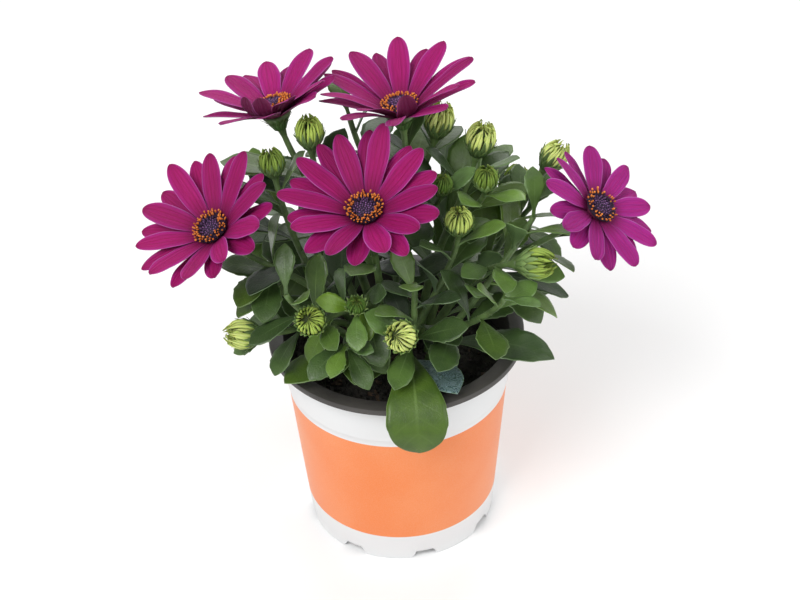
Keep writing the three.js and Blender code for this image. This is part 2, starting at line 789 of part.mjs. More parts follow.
// A closed head: an egg with a rib for each folded petal, whose tips stand in a crown round a dimple. Each
// row is a share of its radius and of its height.
function budSolid(bud) {
  const { at, faces, size } = BUDS[bud];
  const { x, y, z } = facing(faces);
  const foot = vec(at).addScaledVector(z, GAP);
  const rows = [
    [0.42, 0],
    [1, 0.42],
    [0.94, 0.72],
    [0.5, 1],
  ];
  const sides = BUD.ribs * 2;
  const rings = rows.map(([r, h], row) =>
    Array.from({ length: sides }, (_, i) => {
      const valley = row > 0 && i % 2 ? 1 - BUD.sink : 1;
      const high = row === rows.length - 1 && i % 2 ? h * BUD.dip : h;
      const a = (i / sides) * 2 * Math.PI + row * BUD.twist;
      const radius = BUD.radius * size * r * valley;
      return foot
        .clone()
        .addScaledVector(x, radius * Math.cos(a))
        .addScaledVector(y, radius * Math.sin(a))
        .addScaledVector(z, BUD.height * size * high);
    }),
  );
  rings.push([foot.clone().addScaledVector(z, BUD.height * size * BUD.dimple)]);
  return lofted(rings);
}

// ---- Leaves ----

// Half widths of a leaf, as shares of its width: a narrow foot, widest past the middle, a tooth, a blunt tip.
const LARGE_LEAF = [
  [0.34, 0.24],
  [0.58, 0.48],
  [0.65, 0.42],
  [0.81, 0.45],
  [1, 0],
];
const SMALL_LEAF = [
  [0.4, 0.34],
  [0.73, 0.5],
  [1, 0],
];
const LARGE = 45; // a leaf longer than this has the finer outline

// Ways to bend a leaf clear of its neighbours, tried in turn: turn about the stem, lift towards it and share
// of its length.
const BENDS = [
  [0, 0, 1],
  [18, 0, 1],
  [-18, 0, 1],
  [0, 14, 1],
  [0, -14, 0.95],
  [36, 6, 0.92],
  [-36, 6, 0.92],
  [18, 22, 0.85],
  [-18, 22, 0.85],
  [60, 0, 0.85],
  [-60, 0, 0.85],
  [0, 30, 0.72],
  [90, 10, 0.72],
  [-90, 10, 0.72],
  [0, -20, 0.62],
  [130, 10, 0.62],
];

// The blade of leaf i on a shoot, bent one of the ways above.
function shootLeaf(curve, shoot, key, i, [turn, lift, share]) {
  const p = shoot.leaves > 1 ? i / (shoot.leaves - 1) : 0;
  const t = mix(shoot.first, shoot.last, p);
  const along = curve.getTangent(t);
  const a = along.clone().cross(Y).normalize();
  const b = along.clone().cross(a);
  const { vary } = LEAF;
  const own = key * 16 + i;
  const around = rad(GOLDEN * i + SHOOT_TURN * key + vary.around * jitter(own, 0) + turn);
  const out = a.multiplyScalar(Math.cos(around)).addScaledVector(b, Math.sin(around));
  const open = rad(mix(...LEAF.open, p) + vary.open * jitter(own, 1) - lift);
  const length = mix(shoot.long, shoot.short, p) * (1 + vary.length * jitter(own, 2)) * share;
  const axis = along.clone().multiplyScalar(Math.cos(open)).addScaledVector(out, Math.sin(open));
  const up = along.clone().multiplyScalar(Math.sin(open)).addScaledVector(out, -Math.cos(open));
  return {
    base: curve.getPoint(t),
    along: axis,
    up: turnedToLight(axis, up),
    length,
    width: length * LEAF.slender * (1 + vary.width * jitter(own, 3)),
    bend: mix(...LEAF.bend, p) + vary.bend * jitter(own, 4),
  };
}

// A leaf turns about its own axis, so that its upper side faces more upwards.
function turnedToLight(axis, up) {
  const light = Z.clone().addScaledVector(axis, -axis.z);
  return up.clone().multiplyScalar(1 - LEAF.light).addScaledVector(light, LEAF.light).normalize();
}

// A leaf that has a place of its own.
function rimLeaf({ from, heading, pitch, length, width, bend }, curve) {
  const out = new THREE.Vector3(Math.cos(rad(heading)), Math.sin(rad(heading)), 0);
  return {
    base: curve.getPoint(from),
    along: out.clone().multiplyScalar(Math.cos(rad(pitch))).setZ(Math.sin(rad(pitch))),
    up: out.clone().multiplyScalar(-Math.sin(rad(pitch))).setZ(Math.cos(rad(pitch))),
    length,
    width,
    bend,
  };
}

// The solid of a leaf.
function leafSolid(leaf) {
  const outline = leaf.length > LARGE ? LARGE_LEAF : SMALL_LEAF;
  const rows = bladeRows({
    ...leaf,
    late: LEAF.late,
    thick: LEAF.thick,
    stations: [[0, LEAF.stalk], ...outline.map(([s, half]) => [s, half * leaf.width])],
  });
  return solid(bladeSkin(rows));
}

// The space that a leaf needs, from a share of its length on: its outline, wider and thicker by "ease".
function leafSpace(leaf, ease, from) {
  const outline = leaf.length > LARGE ? LARGE_LEAF : SMALL_LEAF;
  const rows = bladeRows({
    ...leaf,
    late: LEAF.late,
    thick: LEAF.thick + ease * 2,
    stations: [
      [from, LEAF.stalk + ease],
      ...outline.map(([s, half]) => [s, half ? half * leaf.width + ease : 0]),
    ],
  });
  return solid(bladeSkin(rows));
}

// ---- Growing the plant without crossings ----

// Everything that is placed, each with the node that it belongs to and its box.
const placed = [];

function place(made, node) {
  placed.push({ made, node, box: made.boundingBox() });
  return made;
}

function boxesMeet(a, b) {
  return [0, 1, 2].every((k) => a.min[k] <= b.max[k] && b.min[k] <= a.max[k]);
}

// True if a solid meets nothing that the test counts.
function isClear(made, counts) {
  const box = made.boundingBox();
  return placed.every(
    (other) => !counts(other) || !boxesMeet(box, other.box) || made.intersect(other.made).volume() < 1e-6,
  );
}

// A leaf is clear if all of it misses the other nodes, and its outer part misses the leaves of its own stem.
function leafClear(leaf, node) {
  return (
    isClear(leafSpace(leaf, CLEAR.others, 0), (other) => other.node !== node) &&
    isClear(leafSpace(leaf, CLEAR.own, LEAF.near), (other) => other.node === node)
  );
}

const pot = place(potSolid(), "pot");
const soil = place(soilSolid(), "soil");
const bloomPieces = BLOOMS.map((_, i) => ({
  petals: place(bloomPetals(i), `bloom_${i + 1}_petals`),
  disc: place(bloomDisc(i), `bloom_${i + 1}_disc`),
  florets: place(bloomFlorets(i), `bloom_${i + 1}_florets`),
}));
const budPieces = BUDS.map((_, i) => place(budSolid(i), `bud_${i + 1}`));

// The curve of every shoot, then the solids of the bare stems, so that leaves keep clear of all of them.
const stemNodes = STEMS.map((stem, i) => {
  const node = `leafy_stem_${i + 1}`;
  const curves = [];
  const parts = stem.shoots.map((shoot, j) => {
    const curve = shootCurve(shoot, stem.root, j ? curves[0] : null);
    curves.push(curve);
    return place(stemSolid(curve, j ? STEM.side : STEM.base, STEM.tip, cupOf(shoot)), node);
  });
  return { node, stem, curves, parts };
});

for (const leaf of RIM_LEAVES) {
  const { node, curves, parts } = stemNodes[leaf.stem];
  const made = rimLeaf(leaf, curves[0]);
  if (leafClear(made, node)) parts.push(place(leafSolid(made), node));
}

// The other leaves grow from the highest down. One that fits in none of the ways above doesn't grow.
const mostLeaves = Math.max(...STEMS.flatMap((stem) => stem.shoots.map((shoot) => shoot.leaves)));
for (let i = mostLeaves - 1; i >= 0; i--)
  for (const [s, { node, stem, curves, parts }] of stemNodes.entries())
    for (const [j, shoot] of stem.shoots.entries()) {
      if (i >= shoot.leaves || shoot.bare?.includes(i)) continue;
      const bent = BENDS.map((bend) => shootLeaf(curves[j], shoot, s * 4 + j, i, bend)).find((leaf) =>
        leafClear(leaf, node),
      );
      if (bent) parts.push(place(leafSolid(bent), node));
    }

// ---- Materials and the exported group ----

const finish = (color, roughness) => new THREE.MeshStandardMaterial({ color, roughness, metalness: 0 });
const FINISH = {
  pot: finish("#f2f2ef", 0.4),
  soil: finish("#2b211b", 0.95),
  leaf: finish("#2f5a22", 0.45),
  petals: finish("#a31d78", 0.55),
  disc: finish("#3a2447", 0.6),
  florets: finish("#e07a12", 0.5),
  bud: finish("#a9bf3c", 0.5),
};

const group = new THREE.Group();
function addNode(name, made, material) {
  const mesh = new THREE.Mesh(geometryOf(made), material);
  mesh.name = name;
  group.add(mesh);
}

addNode("pot", pot, FINISH.pot);
addNode("soil", soil, FINISH.soil);
for (const { node, parts } of stemNodes) addNode(node, joined(parts), FINISH.leaf);
bloomPieces.forEach(({ petals, disc, florets }, i) => {
  addNode(`bloom_${i + 1}_petals`, petals, FINISH.petals);
  addNode(`bloom_${i + 1}_disc`, disc, FINISH.disc);
  addNode(`bloom_${i + 1}_florets`, florets, FINISH.florets);
});
budPieces.forEach((bud, i) => addNode(`bud_${i + 1}`, bud, FINISH.bud));

export default group;
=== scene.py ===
"""A potted osteospermum: fine pieces for the plain solids of its frame, with their materials and a stage.

Lengths in the layout tables are millimetres, angles are degrees and shares run from 0 to 1. The origin is the
centre of the pot's foot on the floor, with +Z up and the plant's front towards -Y.
"""

import math

import bpy
import numpy as np
from bpy.props import FloatProperty, FloatVectorProperty, IntProperty, PointerProperty
from mathutils import Matrix, Vector, kdtree, noise


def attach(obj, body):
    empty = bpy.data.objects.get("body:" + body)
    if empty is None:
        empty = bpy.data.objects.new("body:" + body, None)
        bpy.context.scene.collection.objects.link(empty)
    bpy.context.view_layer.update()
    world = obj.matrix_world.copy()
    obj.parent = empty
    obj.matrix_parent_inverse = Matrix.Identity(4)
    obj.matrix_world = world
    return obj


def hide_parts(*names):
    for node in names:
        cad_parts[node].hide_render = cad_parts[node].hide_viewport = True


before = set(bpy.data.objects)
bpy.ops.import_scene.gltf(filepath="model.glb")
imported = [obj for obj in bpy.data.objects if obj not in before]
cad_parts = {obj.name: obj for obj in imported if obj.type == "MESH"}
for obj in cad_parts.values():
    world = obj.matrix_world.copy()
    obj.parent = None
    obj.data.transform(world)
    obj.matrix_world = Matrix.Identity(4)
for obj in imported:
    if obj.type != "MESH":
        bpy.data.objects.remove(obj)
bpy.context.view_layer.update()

bl_info = {
    "name": "Potted Osteospermum",
    "version": (1, 0, 0),
    "blender": (4, 5, 0),
    "location": "View3D > Sidebar > Osteospermum",
    "description": "Builds a potted osteospermum with its blooms, buds, leaves, soil, pot and stage",
    "category": "Add Mesh",
}

MM = 0.001

# ---- The plant's layout, as in the frame ----

GAP = 0.3  # between two solids of the frame
SOIL = {"top": 92, "dome": 2.5, "lump": 0.8, "clear": 0.65, "hole_depth": 9, "sharp": 50}
STEM = {
    "base": 2.3,
    "side": 1.7,
    "tip": 1.25,
    "leave_root": 0.48,
    "leave_stem": 0.36,
    "meet": 0.3,
    "tip_lift": 0.35,
}
LEAF = {
    "thick": 0.75,
    "slender": 0.4,
    "light": 0.55,
    "stalk": 0.85,
    "late": 2,
    "open": (66, 40),
    "bend": (42, 24),
    "vary": {"around": 20, "open": 8, "length": 0.1, "width": 0.12, "bend": 14},
    "large": 45,
    "broad": 25,
}
PETAL = {
    "layer_rise": 2,
    "layer_gap": 8,
    "bend": 12,
    "curl": -1.8,
    "narrower": 0.05,
    "shorter": 0.04,
    "vary": {"angle": 4, "rise": 2, "reach": 0.05, "width": 0.07, "bend": 8},
}
HEAD = {
    "hub": 5.2,
    "root_deep": 3,
    "layer_deep": 1,
    "foot": 4.6,
    "disc_low": 0.7,
    "calyx": 7,
    "calyx_deep": 9,
}
BUD = {"radius": 6, "height": 13.5, "calyx": 3, "calyx_deep": 5}
GOLDEN = 137.5  # the turn from one leaf or floret to the next
SHOOT_TURN = 61  # the turn from the first leaf of one shoot to that of the next

# Open blooms: centre, facing, reach of the petals, their rise and width, number in a layer, first angle, and
# which petals are curled up: the rise of their chord and their share of the length.
BLOOMS = [
    ((-11.5, -28.5, 193.6), (-0.1, -0.36, 0.93), 38.5, 29, 10.4, 10, 32, {}),
    ((5.2, 15.6, 218.4), (-0.12, 0.04, 0.99), 40, 31, 9.9, 9, 44, {6: (62, 0.5)}),
    ((-50.3, 17.8, 219.3), (-0.23, 0.17, 0.96), 34.5, 27, 10.6, 9, 11, {5: (62, 0.55), 6: (62, 0.5)}),
    ((-78.5, -21.9, 182.1), (-0.4, -0.31, 0.86), 36.9, 26, 10.4, 10, 9.4, {}),
    ((92.8, -5.5, 174.9), (0.54, -0.34, 0.77), 30.8, 9, 9.4, 9, 18, {}),
]

# The share of each bloom's open florets that carry pollen.
RIPE_FLORETS = (0.97, 0.95, 0.95, 0.85, 0.45)

# Closed buds: foot, facing, size, and how ripe the colour is, from green to cream yellow.
BUDS = [
    ((-34, 2, 207), (-0.05, 0, 1), 1, 0.6),
    ((21, 24, 197), (0.2, -0.05, 1), 1.12, 0.9),
    ((39, 13, 193.5), (0.2, -0.1, 1), 1.1, 0.9),
    ((71, 26, 176), (0.62, 0, 1), 1.02, 0.95),
    ((42, -1, 184), (0, -0.25, 1), 0.85, 0.2),
    ((29, -21, 175), (0, -0.3, 1), 0.98, 0.75),
    ((55, -26, 160), (0.95, -0.35, 0.25), 1.15, 0.42),
    ((-36, -45, 146), (-0.1, -0.75, 0.75), 1, 0.5),
    ((5, -49, 139), (-0.35, -0.7, 0.65), 1.1, 0.9),
    ((-61, -34, 132), (-0.9, -0.35, 0.35), 1.1, 0.85),
    ((-17, -43, 151), (0.05, -0.5, 0.9), 0.62, 0),
    ((-51, 1, 194), (-0.1, -0.1, 1), 0.9, 0.25),
    ((22, -4, 184), (0.1, -0.2, 1), 0.72, 0.05),
    ((-46, 48, 156), (-0.35, 0.5, 0.8), 1, 0.6),
    ((8, 62, 176), (0.05, 0.55, 0.85), 1.05, 0.8),
    ((56, 52, 146), (0.5, 0.45, 0.8), 0.95, 0.4),
]

# Leafy stems: the root on the soil and the shoots, of which the first rises from the root and the others
# from the first.
SHOOT = ("kind", "value", "first", "last", "leaves", "long", "short", "from")
STEMS = [
    ((-5, -9), [
        ("bloom", 0, 0.25, 0.74, 5, 46, 30),
        ("bud", 7, 0.4, 0.93, 5, 36, 20, 0.3),
        ("bud", 10, 0.35, 0.95, 6, 36, 20, 0.42),
    ]),
    ((3, 6), [
        ("bloom", 1, 0.36, 0.82, 6, 44, 28),
        ("bud", 1, 0.4, 0.85, 4, 36, 26, 0.5),
        ("bud", 12, 0.45, 0.9, 5, 38, 22, 0.4),
    ]),
    ((-9, 9), [
        ("bloom", 2, 0.3, 0.7, 6, 46, 28),
        ("bud", 0, 0.25, 0.64, 5, 40, 28, 0.45),
    ]),
    ((-14, -3), [
        ("bloom", 3, 0.3, 0.66, 5, 38, 30),
        ("bud", 11, 0.35, 0.84, 7, 42, 26, 0.32),
        ("bud", 9, 0.4, 0.88, 5, 29, 21, 0.14),
    ]),
    ((14, -3), [
        ("bloom", 4, 0.32, 0.73, 6, 43, 30),
        ("bud", 3, 0.3, 0.64, 6, 42, 25, 0.36),
        ("bud", 6, 0.4, 0.94, 6, 42, 28, 0.3),
    ]),
    ((3, -15), [
        ("bud", 8, 0.35, 0.88, 5, 42, 26),
        ("bud", 5, 0.3, 0.88, 6, 42, 24, 0.2),
        ("tip", (9, -38, 160), 0.3, 1, 5, 36, 22, 0.5),
    ]),
    ((11, 7), [
        ("bud", 2, 0.4, 0.86, 7, 46, 28),
        ("bud", 4, 0.3, 0.88, 4, 36, 24, 0.5),
    ]),
    ((0, 16), [
        ("bud", 14, 0.35, 0.9, 6, 46, 26),
        ("tip", (-18, 42, 198), 0.4, 1, 6, 42, 24, 0.3),
        ("tip", (30, 42, 172), 0.3, 1, 4, 40, 26, 0.4),
    ]),
    ((-15, 14), [
        ("bud", 13, 0.3, 0.9, 6, 46, 28),
        ("tip", (-60, 20, 176), 0.35, 1, 6, 42, 24, 0.3),
    ]),
    ((15, 15), [
        ("bud", 15, 0.35, 0.9, 6, 46, 28),
        ("tip", (66, 22, 160), 0.35, 1, 6, 42, 24, 0.3),
        ("tip", (40, 32, 169), 0.35, 1, 4, 36, 24, 0.45),
    ]),
    ((13, -14), [
        ("tip", (48, -40, 152), 0.35, 1, 8, 43, 20),
        ("tip", (63, -6, 171), 0.4, 1, 6, 42, 24, 0.3),
    ]),
    ((-13, -15), [
        ("tip", (-47, -40, 158), 0.35, 1, 7, 42, 22),
        ("tip", (-22, -52, 138), 0.4, 1, 5, 36, 20, 0.3),
    ]),
]
STEMS = [(root, [dict(zip(SHOOT, row)) for row in rows]) for root, rows in STEMS]

# Leaves placed one by one, most of them large and old: stem, start, heading, pitch, length, width, bend.
RIM_LEAVES = [
    (5, 0.4, -87, 15, 66, 27, 124),
    (10, 0.32, -27, 20, 58, 21, 36),
    (5, 0.24, -59, 22, 45, 19, 30),
    (0, 0.2, -108, 12, 44, 20, 20),
    (11, 0.24, -141, 14, 44, 18, 24),
    (3, 0.22, -172, 22, 50, 19, 40),
    (8, 0.22, 141, 24, 54, 20, 44),
    (7, 0.22, 90, 24, 56, 21, 44),
    (9, 0.22, 44, 24, 54, 20, 44),
    (4, 0.22, 6, 24, 54, 18, 44),
    (3, 0.55, 180, 24, 36, 16, 30),
    (6, 0.42, 65, 48, 40, 17, 16),
    (4, 0.48, 97, 59, 40, 17, 16),
    (1, 0.66, 73, 25, 41, 17, 16),
    (6, 0.66, 67, 58, 38, 16, 16),
    (4, 0.36, 104, 37, 39, 16, 16),
    (3, 0.3, 77, 78, 41, 17, 16),
    (2, 0.72, 166, 12, 41, 17, 16),
    (8, 0.78, -152, -10, 42, 18, 40),
    (3, 0.66, -122, 7, 30, 13, 40),
    (4, 0.48, -46, -8, 36, 16, 40),
    (3, 0.66, -98, -5, 32, 13, 30),
    (8, 0.6, -128, -11, 41, 17, 40),
]
RIM_KEY = 5000  # the first key of their steady values
BLUE_GREY_LEAF = 2  # the one with a dull blue-grey, crinkled blade
FRESH_BUDS = {4: 0.5, 6: 0.85, 7: 0.32, 8: 0.2, 10: 0.35}  # how bright the fresh leaves round some buds are
TIGHT_BUDS = (7, 8)  # buds whose tips still close over the top

# The seed of each kind of piece, to which the number of the piece is added.
SEEDS = {"soil": 5, "stem": 100, "bloom": 300, "bud": 400}

# Ways in which a leaf may be bent clear of its neighbours: turn about the stem, lift, share of length.
BENDS = [
    (0, 0, 1), (18, 0, 1), (-18, 0, 1), (0, 14, 1), (0, -14, 0.95), (36, 6, 0.92), (-36, 6, 0.92),
    (18, 22, 0.85), (-18, 22, 0.85), (60, 0, 0.85), (-60, 0, 0.85), (0, 30, 0.72), (90, 10, 0.72),
    (-90, 10, 0.72), (0, -20, 0.62), (130, 10, 0.62),
]

# ---- Small maths ----

AXIS_X, AXIS_Y, AXIS_Z = np.eye(3)
FULL_TURN = 2 * math.pi


def mix(a, b, t):
    return a + (b - a) * t


def unit(v):
    return v / np.linalg.norm(v, axis=-1, keepdims=True)


def smooth(low, high, x):
    """0 below low, 1 above high and a soft step between them."""
    t = np.clip((x - low) / (high - low), 0, 1)
    return t * t * (3 - 2 * t)


def jitter(key, channel):
    """A steady value from -1 to 1 for a key and a channel, as in the frame."""
    word = 0xFFFFFFFF
    h = ((key + 1) * 374761393 + (channel + 1) * 668265263) & word
    h = ((h ^ (h >> 13)) * 1274126177) & word
    return (h ^ (h >> 16)) / word * 2 - 1


def facing(direction):
    """The three axes of a frame whose z is the direction and whose x is as near to +X as that allows."""
    z = unit(np.array(direction, float))
    y = unit(np.cross(z, AXIS_X))
    return np.cross(y, z), y, z


def spoke(x, y, angle):
    """The direction at an angle from x towards y."""
    return x * math.cos(angle) + y * math.sin(angle)


def square(axis, hint):
    """Two directions at right angles to an axis and to each other, the first also to the hint."""
    a = unit(np.cross(axis, hint))
    return a, np.cross(axis, a)


def turned(v, axis, angle):
    """v turned about an axis. Both are arrays of vectors, and the angle is in radians."""
    c, s = np.cos(angle), np.sin(angle)
    along = (v * axis).sum(-1, keepdims=True)
    return v * c + np.cross(axis, v) * s + axis * along * (1 - c)


class Curve:
    """A cubic Bezier line."""

    def __init__(self, *points):
        self.points = [np.array(p, float) for p in points]

    def point(self, t):
        a, b, c, d = self.points
        t = np.asarray(t, float)[..., None]
        u = 1 - t
        return a * u**3 + 3 * b * u * u * t + 3 * c * u * t * t + d * t**3

    def tangent(self, t):
        step = 0.0001
        return unit(self.point(np.clip(t + step, 0, 1)) - self.point(np.clip(t - step, 0, 1)))

    def even(self, shares):
        """The parameters at these shares of the line's length."""
        t = np.linspace(0, 1, 201)
        steps = np.linalg.norm(np.diff(self.point(t), axis=0), axis=1)
        lengths = np.concatenate([[0], np.cumsum(steps)])
        self.length = lengths[-1]
        return np.interp(np.asarray(shares) * self.length, lengths, t)


def stalk_end(made):
    """Where a shoot ends, and the way its head faces. A bare tip faces no way."""
    if made["kind"] == "tip":
        return np.array(made["value"], float), None
    at, faces = {"bloom": BLOOMS, "bud": BUDS}[made["kind"]][made["value"]][:2]
    faces = facing(faces)[2]
    under = HEAD["foot"] + GAP if made["kind"] == "bloom" else 0
    return np.array(at, float) - faces * under, faces


def shoot_curve(made, root, parent):
    """The line of a shoot, from its root or its parent to the foot of its head."""
    at, faces = stalk_end(made)
    if parent:
        start, leave, keep = parent.point(made["from"]), parent.tangent(made["from"]), STEM["leave_stem"]
    else:
        start = np.array([*root, SOIL["top"] - SOIL["hole_depth"] + GAP], float)
        leave, keep = AXIS_Z, STEM["leave_root"]
    reach = np.linalg.norm(at - start)
    meet = unit(unit(at - start) + AXIS_Z * STEM["tip_lift"]) if faces is None else faces
    return Curve(start, start + leave * reach * keep, at - meet * reach * STEM["meet"], at)


def spine(blade, s, late):
    """Middle line of a blade at shares s: points, upper normals and directions. It bends as s ** late."""
    s = np.asarray(s, float)[:, None]
    along, up, bend = blade["along"], blade["up"], math.radians(blade["bend"])
    steps = (np.arange(12) + 0.5) / 12
    angles = bend * (s * steps) ** late
    reach = blade["length"] * s / len(steps)
    on, down = (part.sum(1)[:, None] * reach for part in (np.cos(angles), np.sin(angles)))
    c, s = np.cos(bend * s**late), np.sin(bend * s**late)
    return blade["base"] + on * along - down * up, c * up + s * along, c * along - s * up


# ---- Meshes ----


class Shape:
    """The points, faces and painted values of one piece, in millimetres, gathered part by part."""

    def __init__(self):
        self.parts, self.count = {}, 0

    def add(self, points, quads, tris, quad_slots=0, tri_slots=0, uv=None, tone=0.0, age=0.0):
        """Adds a closed body, turned outwards."""
        points = np.asarray(points, float).reshape(-1, 3)
        quads = np.asarray(quads, int).reshape(-1, 4)
        tris = np.asarray(tris, int).reshape(-1, 3)
        corners = np.concatenate([tris, quads[:, [0, 1, 2]], quads[:, [0, 2, 3]]])
        a, b, c = (points[corners[:, k]] - points[0] for k in range(3))
        if (a * np.cross(b, c)).sum() < 0:
            quads, tris = quads[:, ::-1], tris[:, ::-1]
        n = len(points)
        body = {
            "points": points,
            "quads": quads + self.count,
            "tris": tris + self.count,
            "quad_slots": np.broadcast_to(quad_slots, len(quads)),
            "tri_slots": np.broadcast_to(tri_slots, len(tris)),
            "uv": np.zeros((n, 2)) if uv is None else uv,
            "tone": np.full(n, tone),
            "age": np.full(n, age),
        }
        for title, part in body.items():
            self.parts.setdefault(title, []).append(part)
        self.count += n

    def tube(self, rings, uv=None, slots=0, tone=0.0, age=0.0):
        """A closed skin over rings of points, as many in each, with a fan over both ends."""
        rings = np.asarray(rings, float)
        m, n = rings.shape[:2]
        i, j = np.meshgrid(np.arange(m - 1) * n, np.arange(n), indexing="ij")
        k = (j + 1) % n
        quads = np.stack([i + j, i + k, i + n + k, i + n + j], -1)
        j, k, last = j[0], k[0], (m - 1) * n
        fans = [np.stack([k, j, np.full(n, m * n)], -1),
                np.stack([last + j, last + k, np.full(n, m * n + 1)], -1)]
        if uv is None:
            uv = np.stack(np.meshgrid(np.linspace(0, 1, m), np.linspace(0, 1, n), indexing="ij"), -1)
        uv = np.asarray(uv, float)
        slots = np.broadcast_to(slots, (m - 1, n))

        def closed(grid):
            """The points of the rings and the middles of both ends."""
            return np.concatenate([grid.reshape(m * n, -1), [grid[0].mean(0), grid[-1].mean(0)]])

        self.add(closed(rings), quads, np.concatenate(fans), slots.ravel(),
                 np.concatenate([slots[0], slots[-1]]), closed(uv), tone, age)

    def made(self, name, materials):
        """The Blender object of this shape, smooth shaded."""
        given = {title: np.concatenate(parts) for title, parts in self.parts.items()}
        quads, tris = given["quads"], given["tris"]
        loops = np.concatenate([quads.ravel(), tris.ravel()])
        starts = np.concatenate([np.arange(len(quads)) * 4, len(quads) * 4 + np.arange(len(tris)) * 3])
        slots = np.concatenate([given["quad_slots"], given["tri_slots"]])
        mesh = bpy.data.meshes.new(name)
        mesh.vertices.add(len(given["points"]))
        mesh.vertices.foreach_set("co", (given["points"] * MM).astype(np.float32).ravel())
        mesh.loops.add(len(loops))
        mesh.loops.foreach_set("vertex_index", loops.astype(np.int32))
        mesh.polygons.add(len(starts))
        mesh.polygons.foreach_set("loop_start", starts.astype(np.int32))
        mesh.polygons.foreach_set("material_index", slots.astype(np.int32))
        mesh.update(calc_edges=True)
        uv_layer = mesh.uv_layers.new(name="blade")
        uv_layer.data.foreach_set("uv", given["uv"][loops].astype(np.float32).ravel())
        for title in ("tone", "age"):
            values = mesh.attributes.new(title, "FLOAT", "POINT")
            values.data.foreach_set("value", given[title].astype(np.float32))
        mesh.shade_smooth()
        mesh.validate()
        for material in materials:
            mesh.materials.append(material)
        made = bpy.data.objects.new(name, mesh)
        bpy.context.scene.collection.objects.link(made)
        return made


def settle(made, node):
    """A piece that stands for a node of the frame."""
    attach(made, "root")
    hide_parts(node)


def ring(centre, x, y, radius, sides, turn=0.0):
    """Points round a centre. The radius may differ from point to point."""
    a = (np.arange(sides) / sides * FULL_TURN + turn)[:, None]
    radius = np.broadcast_to(radius, sides)[:, None]
    return centre + x * radius * np.cos(a) + y * radius * np.sin(a)


def section(middle, out, side, pairs):
    """A ring of points, each so far out and so far sideways from the middle."""
    return [middle + out * o + side * w for o, w in pairs]


def turned_shape(shape, profile, centre, axes, sides, slot):
    """A body of revolution on three axes, from (radius, height) pairs along its outline."""
    x, y, z = axes
    shape.tube([ring(centre + z * h, x, y, max(r, 0.001), sides) for r, h in profile], slots=slot)


def blade(shape, spec, late, stations, columns, half, relief, thick, slots=(0, 1), twist=0.0, tone=0.0,
          age=0.0):
    """A thin blade along its spine, with its half width, relief and thickness over both shares."""
    centre, normal, forward = spine(spec, stations, late)
    side = np.broadcast_to(unit(np.cross(spec["along"], spec["up"])), normal.shape)
    angle = np.asarray(twist * stations**1.5)[:, None]
    side, normal = turned(side, forward, angle), turned(normal, forward, angle)
    s, w = np.meshgrid(stations, np.linspace(-1, 1, columns), indexing="ij")
    h = half(s, w)
    lift, deep = relief(s, w, h), thick(s, w, h)
    middle = centre[:, None] + side[:, None] * (w * h)[..., None]
    top, bottom = (middle + normal[:, None] * (lift + deep * share)[..., None] for share in (0.5, -0.5))
    across = np.stack([s, (w + 1) / 2], -1)
    faces = np.full(2 * columns, slots[1])
    faces[: columns - 1] = slots[0]
    rings = np.concatenate([top, bottom[:, ::-1]], 1)
    shape.tube(rings, np.concatenate([across, across[:, ::-1]], 1), faces, tone, age)


def hairs(shape, points, normals, length, width, slot, rng):
    """Short tapering hairs, three-sided, that stand on a surface."""
    n = len(points)
    lean = unit(normals + rng.normal(0, 0.25, (n, 3)))
    a, b = square(lean, rng.normal(0, 1, (n, 3)))
    long = length * rng.uniform(0.6, 1.2, n)[:, None]
    foot = points - lean * width
    corners = [foot + width * spoke(a, b, turn) for turn in (0, 2.094, 4.189)]
    cloud = np.stack([*corners, points + lean * long], 1)
    each = np.array([[0, 1, 3], [1, 2, 3], [2, 0, 3], [0, 2, 1]])
    shape.add(cloud, [], np.arange(n)[:, None, None] * 4 + each, tri_slots=slot)


# ---- Nodes ----

# The Mix node's sockets for a mask, two colours and their mix: it has others for plain values and vectors.
MASK, FIRST, SECOND, MIXED = 0, 6, 7, 2


class Wire:
    """An output of a node. Sums and products with it add Math nodes to its tree."""

    def __init__(self, socket):
        self.socket, self.tree = socket, socket.id_data

    def maths(self, operation, *others):
        values = dict(enumerate((self, *others)))
        return put(self.tree, "ShaderNodeMath", values, operation=operation)[0]

    def scaled(self, by, plus):
        return self.maths("MULTIPLY_ADD", by, plus)

    def __add__(self, other):
        return self.maths("ADD", other)

    def __sub__(self, other):
        return self.maths("SUBTRACT", other)

    def __rsub__(self, other):
        return put(self.tree, "ShaderNodeMath", {0: other, 1: self}, operation="SUBTRACT")[0]

    def __mul__(self, other):
        return self.maths("MULTIPLY", other)


def wires(node):
    """A node's outputs, by number and by name."""
    found = {}
    for number, socket in enumerate(node.outputs):
        found[number] = Wire(socket)
        found.setdefault(socket.name, found[number])
    return found


def feed(inputs, sockets):
    """Gives each of a node's sockets a value, a colour or a wire."""
    for name, value in sockets.items():
        socket = inputs[name]
        if isinstance(value, Wire):
            value.tree.links.new(value.socket, socket)
        else:
            socket.default_value = (*value[:3], 1) if socket.type == "RGBA" else value


def put(tree, kind, sockets=None, **settings):
    """Adds a node and gives its outputs."""
    made = tree.nodes.new(kind)
    for name, value in settings.items():
        setattr(made, name, value)
    feed(made.inputs, sockets or {})
    return wires(made)


def between(value, low, high):
    """A soft mask: 0 where the value is low, 1 where it is high."""
    sockets = {"Value": value, "From Min": low, "From Max": high}
    return put(value.tree, "ShaderNodeMapRange", sockets, interpolation_type="SMOOTHSTEP")[0]


def blended(mask, a, b):
    """A colour between two, by a mask. At least one of the three is a wire."""
    tree = next(value.tree for value in (mask, a, b) if isinstance(value, Wire))
    return put(tree, "ShaderNodeMix", {MASK: mask, FIRST: a, SECOND: b}, data_type="RGBA")[MIXED]


def layered(colour, *coats):
    """A colour under coats of others, each with its mask."""
    for mask, coat in coats:
        colour = blended(mask, colour, coat)
    return colour


